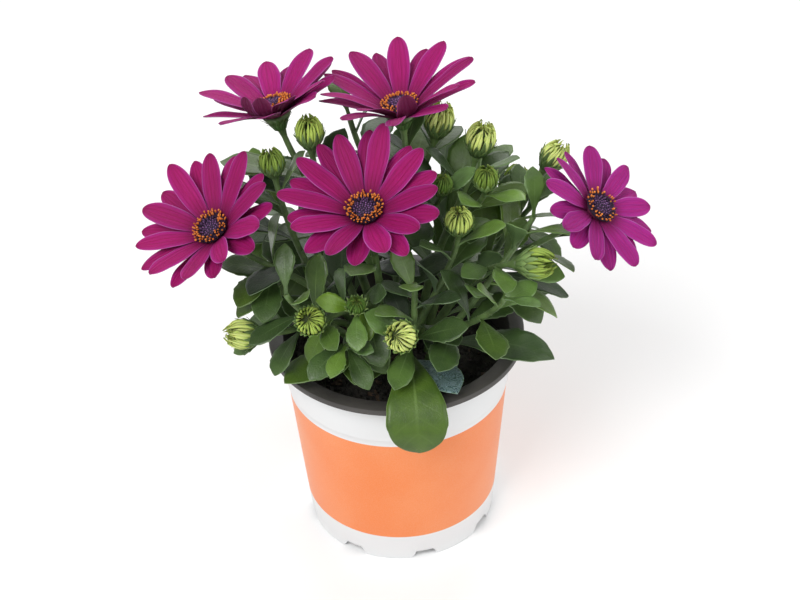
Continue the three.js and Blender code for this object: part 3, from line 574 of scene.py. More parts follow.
def attribute(tree, name):
    return put(tree, "ShaderNodeAttribute", attribute_name=name)["Fac"]


def place(tree):
    return put(tree, "ShaderNodeTexCoord")["Object"]


def shares(tree):
    """A blade's shares of length and of width."""
    uv = put(tree, "ShaderNodeUVMap", uv_map="blade")[0]
    apart = put(tree, "ShaderNodeSeparateXYZ", {"Vector": uv})
    return apart["X"], apart["Y"]


def clouds(tree, scale, detail, vector=None, distortion=0.0):
    """The value of a noise texture, on the object's own coordinates where no others are given."""
    sockets = {"Vector": vector or place(tree), "Scale": scale, "Detail": detail, "Distortion": distortion}
    return put(tree, "ShaderNodeTexNoise", sockets)["Fac"]


def cells(tree, scale, feature="F1"):
    """The distance of a cell texture."""
    sockets = {"Vector": place(tree), "Scale": scale}
    return put(tree, "ShaderNodeTexVoronoi", sockets, feature=feature)["Distance"]


def group(name, inputs, outputs):
    """An empty shader node group with named sockets, its inputs as wires and its output node's sockets."""
    tree = bpy.data.node_groups.new(name, "ShaderNodeTree")
    for title, value in inputs.items():
        kind = "NodeSocketFloat" if isinstance(value, float) else "NodeSocketColor"
        tree.interface.new_socket(title, in_out="INPUT", socket_type=kind).default_value = value
    for title in outputs:
        kind = "NodeSocketColor" if title == "Colour" else "NodeSocketFloat"
        tree.interface.new_socket(title, in_out="OUTPUT", socket_type=kind)
    return tree, wires(tree.nodes.new("NodeGroupInput")), tree.nodes.new("NodeGroupOutput").inputs


def mottle_group():
    """Soft cloudy shifts of a colour, and a height for fine grain."""
    grey = (0.5, 0.5, 0.5, 1)
    inputs = {"Colour": grey, "Second Colour": grey, "Scale": 200.0, "Amount": 0.5}
    tree, given, out = group("Tissue Mottle", inputs, ["Colour", "Height"])
    mask = between(clouds(tree, given["Scale"], 4.0), 0.35, 0.68) * given["Amount"]
    feed(out, {"Colour": blended(mask, given["Colour"], given["Second Colour"]),
               "Height": clouds(tree, given["Scale"] * 9.0, 2.0)})
    return tree


def lines_group():
    """Lines that run the length of a blade, with fine streaks between."""
    tree, given, out = group("Lengthwise Lines", {"Count": 4.0, "Streak": 20.0}, ["Lines", "Streaks"])
    along, across = shares(tree)
    wander = (clouds(tree, 90.0, 1.0) - 0.5) * 0.05
    wave = ((across + wander) * given["Count"] * FULL_TURN).maths("COSINE")
    stretch = {"X": along * 2.0, "Y": across * given["Streak"], "Z": attribute(tree, "tone")}
    streaks = clouds(tree, 1.6, 3.0, put(tree, "ShaderNodeCombineXYZ", stretch)[0])
    feed(out, {"Lines": between(wave, 0.3, 1.0), "Streaks": between(streaks, 0.3, 0.7)})
    return tree


def margin_group():
    """A thin line along a blade's edge, and the shares of length and of half width."""
    tree, given, out = group("Blade Margin", {"Width": 0.08}, ["Margin", "Length", "Side"])
    along, across = shares(tree)
    side = across.scaled(2.0, -1.0).maths("ABSOLUTE")
    line = between(side, 1.0 - given["Width"], given["Width"].scaled(-0.35, 1.0))
    feed(out, {"Margin": line, "Length": along, "Side": side})
    return tree


GROUPS = {"mottle": mottle_group, "lines": lines_group, "margin": margin_group}
MADE_GROUPS = {}


def use(tree, name, sockets):
    """A node group placed in a material. Each group is made once."""
    if name not in MADE_GROUPS:
        MADE_GROUPS[name] = GROUPS[name]()
    return put(tree, "ShaderNodeGroup", sockets, node_tree=MADE_GROUPS[name])


# ---- Materials ----


def principled(made):
    return made.node_tree.nodes["Principled BSDF"].inputs


def material(name, sockets):
    """A material with a plain Principled shader, and its tree."""
    made = bpy.data.materials.new(name)
    made.use_nodes = True
    feed(principled(made), sockets)
    return made, made.node_tree


def finished(made, colour, height, strength, distance):
    """A material with its colour and the relief of a height."""
    sockets = {"Height": height, "Strength": strength, "Distance": distance}
    bump = put(made.node_tree, "ShaderNodeBump", sockets)
    feed(principled(made), {"Base Color": colour, "Normal": bump[0]})
    return made


def toned(colour, depth, **shifts):
    """A colour that is a little lighter or darker with the tone of each part. A leaf's tone also carries
    painted shade for the dim inside of the foliage.
    """
    value = attribute(colour.tree, "tone").scaled(depth, 1.0)
    return put(colour.tree, "ShaderNodeHueSaturation", {"Color": colour, "Value": value, **shifts})[0]


def leaf_material(name, settings, under, grey=0.0, margin=0.06):
    """The upper or lower side of a leaf: pale midrib, side veins, thin pale margin and patches of green."""
    made, tree = material(name, {
        "Roughness": 0.62 if under else 0.45, "Specular IOR Level": 0.36,
        "Subsurface Weight": 0.1, "Subsurface Scale": 0.001, "Subsurface Radius": (0.6, 1.0, 0.3),
        "Coat Weight": 0.0 if under or grey else 0.16, "Coat Roughness": 0.24, "Coat Tint": (0.92, 1.0, 0.9),
    })
    age, tone = attribute(tree, "age"), attribute(tree, "tone")
    edge = use(tree, "margin", {"Width": margin})
    length, side = edge["Length"], edge["Side"]
    green = blended(grey, blended(age, settings.old_colour, settings.young_colour), settings.grey_colour)
    dark = blended(0.45, green, (0.010, 0.026, 0.009))
    patches = use(tree, "mottle", {"Colour": green, "Second Colour": dark, "Scale": 120.0, "Amount": 0.75})
    rib = (1 - between(side, 0.015, 0.075)) * (1 - between(length, 0.4, 0.9))
    slant = (length * 8.5 - side * 1.15).maths("PINGPONG", 0.5)
    veins = (1 - between(slant, 0.0, 0.11)) * (1 - between(side, 0.55, 0.95))
    net = 1 - between(cells(tree, 700.0, "DISTANCE_TO_EDGE"), 0.0, 0.16)
    wrinkle = between(clouds(tree, 170.0, 1.0, distortion=1.5).maths("PINGPONG", 0.05), 0.005, 0.045)
    pale = blended(0.6, green, settings.vein_colour)
    colour = layered(patches["Colour"], (veins * 0.05, pale), (rib * 0.36, pale),
                     (edge["Margin"] * 0.42, settings.vein_colour))
    if under:
        colour = blended(0.38, colour, (0.2, 0.3, 0.17))
    else:
        feed(principled(made), {"Roughness": patches["Height"].scaled(0.25, 0.27)})
    colour = blended(wrinkle * (0.6 * grey), colour, (0.25, 0.37, 0.39))
    colour = toned(colour, 0.2, Hue=tone.scaled(-0.014, 0.5), Saturation=tone.scaled(0.14, 1.0))
    relief = veins * -0.2 + net * -0.22 + patches["Height"] * 0.3 + wrinkle * (2.5 * grey)
    return finished(made, colour, relief, 0.5, 0.00035)


def petal_material(name, settings, under):
    """The upper or lower side of a ray petal: furrow lines, pale margin and a dark foot."""
    made, tree = material(name, {
        "Roughness": 0.58, "Specular IOR Level": 0.17,
        "Subsurface Weight": 0.25, "Subsurface Scale": 0.0012, "Subsurface Radius": (1.0, 0.15, 0.5),
        "Sheen Weight": 0.03, "Sheen Roughness": 0.4, "Sheen Tint": (0.9, 0.4, 0.9),
    })
    edge = use(tree, "margin", {"Width": 0.1})
    lines = use(tree, "lines", {"Count": 5.0, "Streak": 26.0})
    length = edge["Length"]
    body = blended(attribute(tree, "age"), settings.petal_colour, settings.violet_colour)
    # How far the body goes towards each shade, and the shade: bright lines, deep streaks and the outer part.
    shades = ((0.5, (0.45, 0.012, 0.20)), (0.7, (0.10, 0.001, 0.022)), (0.6, (0.34, 0.018, 0.25)))
    if under:
        body = blended(0.8, body, settings.back_colour)
        shades = ((0.3, (0.16, 0.03, 0.09)), (0.6, (0.05, 0.006, 0.025)), (0.4, (0.2, 0.06, 0.15)))
    bright, deep, outer = (blended(share, body, shade) for share, shade in shades)
    colour = layered(
        bright,
        (lines["Lines"] * 0.75, body),
        (lines["Streaks"] * 0.5, deep),
        (between(edge["Side"], 0.4, 1.0) * 0.7, outer),
        ((1 - between(length, 0.0, 0.45)) * 0.8, settings.foot_colour),
        (between(length, 0.9, 1.0) * 0.3, settings.foot_colour),
        (edge["Margin"] * between(length, 0.08, 0.4) * (0.3 if under else 0.7), settings.margin_colour),
    )
    relief = lines["Lines"] * -0.8 + lines["Streaks"] * -0.7
    return finished(made, toned(colour, 0.12), relief, 0.55, 0.0003)


def grained_material(name, colour, second, scale, amount, roughness, strength, sockets=None):
    """A plain tissue or plastic with cloudy colour and a fine grain."""
    made, tree = material(name, {"Roughness": roughness, **(sockets or {})})
    mottle = use(tree, "mottle",
                 {"Colour": colour, "Second Colour": second, "Scale": scale, "Amount": amount})
    return finished(made, toned(mottle["Colour"], 0.2), mottle["Height"], strength, 0.0003)


def tipped_material(name, low, high, start, end, roughness, streak, margin=0.3, point=None, ripest=None,
                    shade=0.0):
    """A small part that changes colour along its length, with streaks: florets, bud petals and bracts. With
    shade, its sides are darkened as painted shade.
    """
    made, tree = material(name, {"Roughness": roughness, "Specular IOR Level": 0.3,
                                 "Subsurface Weight": 0.06, "Subsurface Scale": 0.001})
    edge = use(tree, "margin", {"Width": 0.2})
    streaks = use(tree, "lines", {"Count": 3.0, "Streak": 12.0})["Streaks"]
    age = attribute(tree, "age")
    top = blended(age, low, high)
    if ripest:
        top = blended(between(age, 0.55, 1.0) * streaks, top, ripest)
    colour = blended(between(edge["Length"], start, end), blended(age * 0.35, low, high), top)
    dark = blended(0.55, colour, (0.01, 0.012, 0.008))
    # The shade mask darkens the part's sides: painted shade in the creases between folded bud petals. The
    # streaks are the tissue's own lines.
    colour = layered(colour, (between(edge["Side"], 0.45, 1.0) * shade, dark), (streaks * streak, dark),
                     (edge["Margin"] * margin, high))
    if point:
        colour = blended(between(edge["Length"], 0.93, 1.0), colour, point)
    return finished(made, toned(colour, 0.18), streaks, 0.4, 0.0002)


# ---- Settings ----


def number_of(name, description, default, kind=FloatProperty, **more):
    return kind(name=name, description=description, default=default, **more)


def colour_of(name, description, default):
    return number_of(name, description, default, FloatVectorProperty, subtype="COLOR", size=3, min=0, max=1)


def length_of(name, description, default):
    return number_of(name, description, default, unit="LENGTH", subtype="DISTANCE", precision=4)


def count_of(name, description, default, least=0):
    return number_of(name, description, default, IntProperty, min=least)


class PotSettings(bpy.types.PropertyGroup):
    """The plastic pot."""

    rim_radius: length_of("Rim radius", "Outer radius of the flat rim", 0.060)
    rim_top: length_of("Rim height", "Height of the rim above the floor", 0.1065)
    band_low: length_of("Band foot", "Height of the printed band's lower edge", 0.0157)
    band_high: length_of("Band top", "Height of the printed band's upper edge", 0.0784)
    sides: count_of("Sides", "Corners round the pot", 240, 48)
    wall_colour: colour_of("Wall", "Colour of the wall outside", (0.735, 0.745, 0.75))
    band_colour: colour_of("Band", "Colour of the printed band", (0.82, 0.195, 0.026))
    inside_colour: colour_of("Inside", "Colour of the rim and the inside", (0.045, 0.041, 0.038))


class SoilSettings(bpy.types.PropertyGroup):
    """The potting soil."""

    crumbs: count_of("Crumbs", "Loose crumbs on the surface", 1900)
    chips: count_of("Chips", "Flat chips of bark on the surface", 110)
    crumb_size: length_of("Crumb size", "Radius of a middling crumb", 0.0007)
    colour: colour_of("Colour", "Colour of the moist soil", (0.016, 0.0145, 0.0125))
    dry_colour: colour_of("Dry colour", "Colour of its dry crumbs", (0.040, 0.034, 0.027))


class LeafSettings(bpy.types.PropertyGroup):
    """Leaves and stems."""

    tooth_depth: number_of("Teeth", "Depth of a tooth against the leaf's width", 0.06, min=0, max=0.2)
    groove: length_of("Midrib groove", "Depth of the groove over the midrib", 0.00035)
    hair_length: length_of("Hair length", "Length of the hairs on stems", 0.0005)
    hairs: number_of("Hairs", "Hairs on a millimetre of stem", 3.0, min=0)
    old_colour: colour_of("Old green", "Colour of old leaves", (0.019, 0.040, 0.0115))
    young_colour: colour_of("Young green", "Colour of young leaves", (0.152, 0.270, 0.046))
    grey_colour: colour_of("Blue-grey", "Colour of the one dull blue-grey leaf", (0.055, 0.105, 0.10))
    vein_colour: colour_of("Veins", "Colour of midribs and margins", (0.28, 0.42, 0.16))
    stem_colour: colour_of("Stems", "Colour of stems", (0.13, 0.21, 0.065))


class BloomSettings(bpy.types.PropertyGroup):
    """Open blooms."""

    furrow: length_of("Furrows", "Depth of a petal's furrows", 0.00018)
    roll: number_of("Roll", "How far each petal lies over its neighbour", math.radians(3.5), subtype="ANGLE")
    anthers: count_of("Anthers", "Open florets round the disc, most with an orange anther head", 84, 6)
    closed: count_of("Closed florets", "Closed florets in the disc", 58, 6)
    petal_colour: colour_of("Petals", "Upper side of the petals", (0.284, 0.0036, 0.088))
    violet_colour: colour_of("Violet petals", "Upper side of the more violet bloom", (0.293, 0.017, 0.218))
    back_colour: colour_of("Petal backs", "Under side of the petals", (0.065, 0.004, 0.022))
    foot_colour: colour_of("Petal foot", "The dark foot of the petals", (0.14, 0.006, 0.045))
    margin_colour: colour_of("Petal margin", "The pale edge of the petals", (0.52, 0.14, 0.44))
    anther_colour: colour_of("Anthers", "Pollen on the anthers", (0.96, 0.235, 0.014))


class BudSettings(bpy.types.PropertyGroup):
    """Closed buds."""

    ribs: count_of("Folded petals", "Folded petals in a bud", 21, 6)
    bracts: count_of("Bracts", "Green bracts in a row round a bud", 13, 5)
    green_colour: colour_of("Green", "Lower part of the folded petals", (0.10, 0.20, 0.028))
    ripe_colour: colour_of("Ripe", "Ripening petals", (0.66, 0.84, 0.15))
    cream_colour: colour_of("Cream", "Streaks on the ripest petals", (0.92, 0.95, 0.42))


class StageSettings(bpy.types.PropertyGroup):
    """Floor, lights and camera."""

    lens: number_of("Lens", "Focal length of the camera", 79.36, unit="CAMERA")
    floor_colour: colour_of("Floor", "Colour of the floor", (0.93, 0.93, 0.93))
    world_light: number_of("World light", "Strength of the even light", 0.5)
    key_power: number_of("Key light", "Power of the main soft light", 13.0, unit="POWER")


# ---- Pot and soil ----

POT = {
    "foot": 45.4,  # the wall's outside radius at the floor
    "top": 54.3,  # and under the lip
    "lip_foot": 103.5,
    "wall": 1.3,
    "lip": 3,
    "rim": 1.5,
    "bead": 82,  # the height from which the upper wall stands proud
    "proud": 0.5,
    "floor_under": 4.4,
    "floor_top": 5.9,
    "turn": 13,  # of the notches and drain holes, in degrees
    "sharp": 38,
}
FOOT_EDGE = {"inside": 40, "low": 0.3}  # the corners of the outline that the notches lift
NOTCHES = {"count": 8, "half_wide": 6.5, "round": 2.2, "high": 4}
DRAINS = {"count": 6, "circle": 31, "radius": 4, "low": 2, "high": 8, "sides": 24}


def wall_radius(z):
    """The pot wall's outside radius at a height, in millimetres."""
    return mix(POT["foot"], POT["top"], z / POT["lip_foot"])


def soil_height(x, y):
    r = np.hypot(x, y) / POT["top"]
    lumps = np.sin(x * 0.31 + 1.3) * np.cos(y * 0.27) + np.sin((x - y) * 0.19)
    return SOIL["top"] + SOIL["dome"] * (1 - r * r) + SOIL["lump"] * lumps


class OSTEOSPERMUM_OT_pot(bpy.types.Operator):
    """Build the pot: a thin wall, a flat rim with a lip, a stacking bead, a notched foot and a floor."""

    bl_idname = "osteospermum.pot"
    bl_label = "Pot"

    def execute(self, context):
        settings = context.scene.osteospermum_pot
        slots, radii, heights = zip(*self.outline(settings))
        turn = np.arange(settings.sides) / settings.sides * FULL_TURN
        rings = []
        for radius, height in zip(radii, heights):
            z = np.full(len(turn), float(height))
            if radius > FOOT_EDGE["inside"] and height <= FOOT_EDGE["low"]:
                z = self.notched(turn, z)
            rings.append(np.stack([radius * np.cos(turn), radius * np.sin(turn), z], -1))
        shape = Shape()
        shape.tube(rings, slots=np.array(slots[:-1])[:, None])
        made = shape.made("nursery_pot", [
            grained_material("pot_white_plastic", settings.wall_colour, (0.74, 0.745, 0.75), 30.0, 0.5, 0.38,
                             0.06, {"Coat Weight": 0.1}),
            self.band_material(settings),
            grained_material("pot_dark_plastic", settings.inside_colour, (0.075, 0.068, 0.062), 60.0, 0.6,
                             0.5, 0.12),
        ])
        self.drill(made)
        made.data.set_sharp_from_angle(angle=math.radians(POT["sharp"]))
        settle(made, "pot")
        return {"FINISHED"}

    def outline(self, settings):
        """The slot, radius and height of each corner. The slot is that of the strip that follows the corner.

        The outline runs from the middle of the floor's under side, up the wall, over the rim and down inside.
        """
        r, wall, proud, bead = wall_radius, POT["wall"], POT["proud"], POT["bead"]
        under, floor = POT["floor_under"], POT["floor_top"]
        rim, top = settings.rim_radius / MM, settings.rim_top / MM
        low, high = settings.band_low / MM, settings.band_high / MM
        thick, lip, shelf = POT["rim"], top - POT["lip"], top - POT["rim"]
        foot = [(0.02, 0), (11.6, 0), (12, 0.4), (12, under), (40.2, under), (40.5, under - 0.3), (40.5, 0.3),
                (40.8, 0), (45.1, 0), (45.4, 0.3), (r(6), 6)]
        band = [(r(z), z) for z in np.linspace(low, high, 7)[:-1]]
        collar = [(r(high), high), (r(bead - 0.4), bead - 0.4), (r(bead) + proud * 0.8, bead + 0.1),
                  (r(bead) + proud, bead + proud), (r(92) + proud, 92), (r(101) + proud, 101),
                  (r(103) + proud, shelf - 0.8)]
        inside = [(r(103.5) + proud + 0.6, shelf), (rim - thick, shelf), (rim - thick + 0.1, lip + 0.1),
                  (rim - thick + 0.35, lip), (rim - 0.3, lip), (rim, lip + 0.3), (rim, top - 0.6),
                  (rim - 0.2, top - 0.15), (rim - 0.7, top), (rim - 2.5, top), (r(103.5) - wall + 0.5, top),
                  (r(103.5) - wall + 0.1, top - 0.25), (r(103) - wall, top - 0.8)]
        inside += [(r(z) - wall, z) for z in (96, 80, 60, 40, 20, 8)]
        inside += [(r(6) - wall - 0.6, floor + 0.2), (r(6) - wall - 2, floor), (20, floor), (0.02, floor)]
        white, printed, dark = 0, 1, 2
        strips = ((white, foot), (printed, band), (white, collar), (dark, inside))
        return [(slot, *corner) for slot, corners in strips for corner in corners]

    def notched(self, turn, z):
        """The heights of the foot ring's edge, lifted by rounded notches."""
        step = FULL_TURN / NOTCHES["count"]
        away = np.abs((turn - math.radians(POT["turn"]) + step / 2) % step - step / 2) * POT["foot"]
        half_wide = NOTCHES["half_wide"]
        lifted = NOTCHES["high"] * (1 - smooth(half_wide - NOTCHES["round"], half_wide, away))
        return np.maximum(z, lifted - (FOOT_EDGE["low"] - z) * (lifted > 0))

    def band_material(self, settings):
        """The printed band: warm ink with faint screen dots and a soft shift round the pot."""
        made, tree = material("pot_printed_band", {"Roughness": 0.4, "Coat Weight": 0.05})
        ink = np.array(settings.band_colour)
        second = mix(ink, (1, 0.6, 0.35), 0.12)
        mottle = use(tree, "mottle", {"Colour": ink, "Second Colour": second, "Scale": 22.0, "Amount": 0.8})
        dots = between(cells(tree, 2600.0), 0.25, 0.6) * 0.06
        colour = blended(dots, mottle["Colour"], (1, 0.86, 0.74))
        return finished(made, colour, mottle["Height"], 0.05, 0.0002)

    def drill(self, pot):
        """Drain holes through the floor."""
        shape = Shape()
        for i in range(DRAINS["count"]):
            angle = (i + 0.5) / DRAINS["count"] * FULL_TURN + math.radians(POT["turn"])
            centre = DRAINS["circle"] * spoke(AXIS_X, AXIS_Y, angle)
            shape.tube([ring(centre + AXIS_Z * z, AXIS_X, AXIS_Y, DRAINS["radius"], DRAINS["sides"])
                        for z in (DRAINS["low"], DRAINS["high"])])
        drills = shape.made("drills", [])
        cut = pot.modifiers.new("drains", "BOOLEAN")
        cut.object, cut.operation, cut.solver = drills, "DIFFERENCE", "EXACT"
        graph = bpy.context.evaluated_depsgraph_get()
        drilled = bpy.data.meshes.new_from_object(pot.evaluated_get(graph))
        pot.modifiers.clear()
        old, pot.data = pot.data, drilled
        bpy.data.meshes.remove(old)
        bpy.data.objects.remove(drills)


class OSTEOSPERMUM_OT_soil(bpy.types.Operator):
    """Build the potting soil: a rough domed surface with crumbs and chips of bark."""

    bl_idname = "osteospermum.soil"
    bl_label = "Soil"

    def execute(self, context):
        settings = context.scene.osteospermum_soil
        shape = Shape()
        rng = np.random.default_rng(SEEDS["soil"])
        sides, rows, floor = 150, 46, 6.2
        edge, foot = (wall_radius(z) - POT["wall"] - SOIL["clear"] for z in (SOIL["top"], floor))
        rings = [ring(AXIS_Z * floor, AXIS_X, AXIS_Y, foot, sides)]
        for i in range(rows, 0, -1):
            points = ring(np.zeros(3), AXIS_X, AXIS_Y, edge * i / rows, sides)
            for p, h in zip(points, soil_height(points[:, 0], points[:, 1])):
                rough = noise.fractal(Vector((p[0] * 0.45, p[1] * 0.45, 3.1)), 0.9, 2.1, 4) * 0.9
                p[2] = h + rough - 0.2
            rings.append(points)
        rings.append(ring(AXIS_Z * soil_height(0, 0), AXIS_X, AXIS_Y, 0.1, sides))
        shape.tube(rings)
        self.crumbs(shape, settings, rng, edge)
        self.chips(shape, settings, rng, edge)
        made = shape.made("potting_soil", [
            grained_material("moist_peat", settings.colour, settings.dry_colour, 260.0, 0.7, 0.93, 0.9),
            grained_material("bark_chips", (0.07, 0.04, 0.022), (0.02, 0.012, 0.008), 300.0, 0.8, 0.85, 0.7),
        ])
        made.data.set_sharp_from_angle(angle=math.radians(SOIL["sharp"]))
        settle(made, "soil")
        return {"FINISHED"}

    def spots(self, rng, count, edge):
        """Random places on the surface."""
        radius = np.sqrt(rng.uniform(0, 1, count)) * (edge - 2.5)
        angle = rng.uniform(0, FULL_TURN, count)
        x, y = radius * np.cos(angle), radius * np.sin(angle)
        return np.stack([x, y, soil_height(x, y)], -1)

    def crumbs(self, shape, settings, rng, edge):
        """Loose crumbs: twenty-sided lumps, each squeezed in its own way."""
        g = (1 + 5**0.5) / 2
        corners = np.array([(-1, g, 0), (1, g, 0), (-1, -g, 0), (1, -g, 0), (0, -1, g), (0, 1, g),
                            (0, -1, -g), (0, 1, -g), (g, 0, -1), (g, 0, 1), (-g, 0, -1), (-g, 0, 1)]) / 1.9
        faces = [(0, 11, 5), (0, 5, 1), (0, 1, 7), (0, 7, 10), (0, 10, 11), (1, 5, 9), (5, 11, 4),
                 (11, 10, 2), (10, 7, 6), (7, 1, 8), (3, 9, 4), (3, 4, 2), (3, 2, 6), (3, 6, 8), (3, 8, 9),
                 (4, 9, 5), (2, 4, 11), (6, 2, 10), (8, 6, 7), (9, 8, 1)]
        size = settings.crumb_size / MM
        for spot in self.spots(rng, settings.crumbs, edge):
            radius = size * rng.lognormal(0, 0.45)
            lump = corners * rng.uniform(0.65, 1.3, (12, 1)) * rng.uniform(0.7, 1.3, 3) * radius
            shape.add(lump + spot + AXIS_Z * radius * 0.25, [], faces, tone=rng.uniform(-1, 1))

    def chips(self, shape, settings, rng, edge):
        """Flat, slightly curved chips of bark."""
        for spot in self.spots(rng, settings.chips, edge - 3):
            heading = rng.uniform(0, FULL_TURN)
            x = unit(np.array([math.cos(heading), math.sin(heading), rng.uniform(-0.3, 0.3)]))
            y = unit(np.cross(AXIS_Z, x) + AXIS_Z * rng.uniform(-0.4, 0.4))
            z = np.cross(x, y)
            long, wide, deep = rng.uniform(1.5, 4), rng.uniform(0.5, 1.3), rng.uniform(0.2, 0.45)
            rings = []
            for t in np.linspace(-1, 1, 5):
                taper = (1 - 0.5 * t * t) * rng.uniform(0.8, 1.1)
                centre = spot + x * t * long + z * (0.5 + 0.3 * t * t)
                rings.append(section(centre, y * wide * taper, z * deep,
                                     ((-1, -1), (1, -0.8), (1, 0.8), (0.1, 1.2), (-1, 1))))
            shape.tube(rings, slots=1, tone=rng.uniform(-1, 1))


# ---- Leaves and stems ----

LEAF_SLOTS, STEM_SLOT, HAIR_SLOT, BRACT_SLOT, GREY_SLOTS, BROAD_SLOTS = (0, 1), 2, 3, 4, (5, 6), (7, 8)
ENOUGH_LEAVES = 0.85  # the least share of the layout's leaves that the frame must have
HAIR_RADIUS = 0.045
BLOOM_BRACTS = {"count": 13, "width": 2.5}
# The brightest leaves are as short as the length, or as near to the tip of a fresh bud as the near distance.
YOUNG = {"length": 18, "longer": 30, "near": 12, "far": 36}


def shoot_leaf(curve, made, key, i, bend):
    """The blade of leaf i on a shoot, bent one of the ways of BENDS."""
    turn, lift, share = bend
    own, vary = key * 16 + i, LEAF["vary"]
    p = i / (made["leaves"] - 1)
    t = mix(made["first"], made["last"], p)
    along = curve.tangent(t)
    around = math.radians(GOLDEN * i + SHOOT_TURN * key + vary["around"] * jitter(own, 0) + turn)
    out = spoke(*square(along, AXIS_Y), around)
    opened = math.radians(mix(*LEAF["open"], p) + vary["open"] * jitter(own, 1) - lift)
    length = mix(made["long"], made["short"], p) * (1 + vary["length"] * jitter(own, 2)) * share
    axis = spoke(along, out, opened)
    up = along * math.sin(opened) - out * math.cos(opened)
    light = AXIS_Z - axis * axis[2]
    return {
        "base": curve.point(t),
        "along": axis,
        "up": unit(up * (1 - LEAF["light"]) + light * LEAF["light"]),
        "length": length,
        "width": length * LEAF["slender"] * (1 + vary["width"] * jitter(own, 3)),
        "bend": mix(*LEAF["bend"], p) + vary["bend"] * jitter(own, 4),
        "own": own,
        "share": p,
    }


def rim_leaf(index, curve):
    """A leaf of the list of those that are placed one by one."""
    _, start, heading, pitch, length, width, bend = RIM_LEAVES[index]
    pitch = math.radians(pitch)
    out = spoke(AXIS_X, AXIS_Y, math.radians(heading))
    return {
        "base": curve.point(start),
        "along": spoke(out, AXIS_Z, pitch),
        "up": AXIS_Z * math.cos(pitch) - out * math.sin(pitch),
        "length": length,
        "width": width,
        "bend": bend,
        "own": RIM_KEY + index,
    }


def is_there(leaf, tree):
    """True if the frame's node has this leaf's tip."""
    centre, normal, _ = spine(leaf, [1.0], LEAF["late"])
    near = 0.05
    return all(tree.find(Vector((centre[0] + normal[0] * side * LEAF["thick"] / 2) * MM))[2] < near * MM
               for side in (1, -1))


def leaf_outline(width, depth, own, round_end):
    """A leaf's half width over its length: widest past the middle, with a winged foot and forward teeth."""
    late, full = (2.15, 0.6) if round_end else (1.78, 0.8)

    def half(s, w):
        body = 0.5 * width * np.sin(math.pi * np.clip(s, 0, 0.9995) ** late) ** full
        teeth = np.zeros_like(s)
        for side in (-1, 1):
            for tooth, middle in enumerate((0.48, 0.62, 0.76, 0.89)):
                key = own * 7 + tooth
                d = s - (middle + 0.02 * jitter(key, 10 + side))
                rise = np.clip(np.where(d <= 0, 1 + d / 0.1, 1 - d / 0.028), 0, 1)
                teeth += rise * (w * side > 0) * (0.7 + 0.5 * jitter(key, 12 + side))
        stalk = LEAF["stalk"] * (1 - 0.2 * s) * (1 - smooth(0.8, 0.98, s))
        return np.maximum(body * (1 + teeth * depth * 2), stalk) + 0.02

    return half


def add_leaf(shape, leaf, settings, age, crinkled=False, slots=LEAF_SLOTS):
    """A fine blade in the place of a leaf of the frame."""
    own, width = leaf["own"], leaf["width"]
    large, broad = leaf["length"] > LEAF["large"], width > LEAF["broad"]
    groove = settings.groove / MM
    # The broad leaf lies nearly flat and a little lower, so that it stays inside the frame's box.
    fold = 0.03 if broad else 0.09 + 0.03 * jitter(own, 20)
    wave = 0.25 if broad else (0.35 + 0.15 * jitter(own, 21)) * (1.3 if large else 0.8)
    sunk = 1.05 if broad else 0.15
    phase, turns = jitter(own, 22) * math.pi, 1.6 + 0.5 * jitter(own, 23)

    def relief(s, w, h):
        out = np.abs(w)
        rise = np.minimum(fold * h * out * (1.4 - s), 0.6)
        ripple = wave * np.sin(FULL_TURN * turns * s + phase + 1.3 * np.sign(w)) * out**2.2
        middle = -groove * np.exp(-((w * h / 0.7) ** 2)) * (1 - s)
        veins = -0.04 * np.cos(FULL_TURN * (8.5 * s - 1.15 * out)) * (1 - out) * smooth(0.2, 0.4, s)
        if crinkled:
            ripple = ripple + 0.45 * np.sin(31 * s + 3 * w) * np.sin(9 * w + 17 * s) * smooth(0.3, 0.5, s)
        return rise + ripple * smooth(0.25, 0.6, s) + middle + veins - sunk

    def thick(s, w, h):
        keel = 0.75 * np.exp(-((w * h / 0.8) ** 2)) * (1 - s) ** 1.2
        return mix(0.5, 0.26, np.abs(w) ** 2) + keel

    rows, columns = (44, 13) if large else (30, 9)
    stations = 1 - (1 - np.linspace(0, 1, rows)) ** 1.25
    outline = leaf_outline(width, settings.tooth_depth * (0.3 if broad else 1), own, broad)
    # Leaves that reach in near the plant's middle get a lower tone, which darkens them: painted shade for the
    # dim inside of the foliage.
    outer = leaf["base"] + leaf["along"] * leaf["length"] * 0.7
    dark = 0.7 * (1 - smooth(18, 45, math.hypot(*outer[:2])))
    blade(shape, leaf, LEAF["late"], stations, columns, outline, relief, thick, slots,
          tone=jitter(own, 24) * 0.8 - dark, age=age)


def cup_radius(share, radius):
    """The radius of the green cup under a head, from the stem's end at 0 to the head's foot at 1."""
    return mix(STEM["tip"], radius * 0.94, share**1.3)


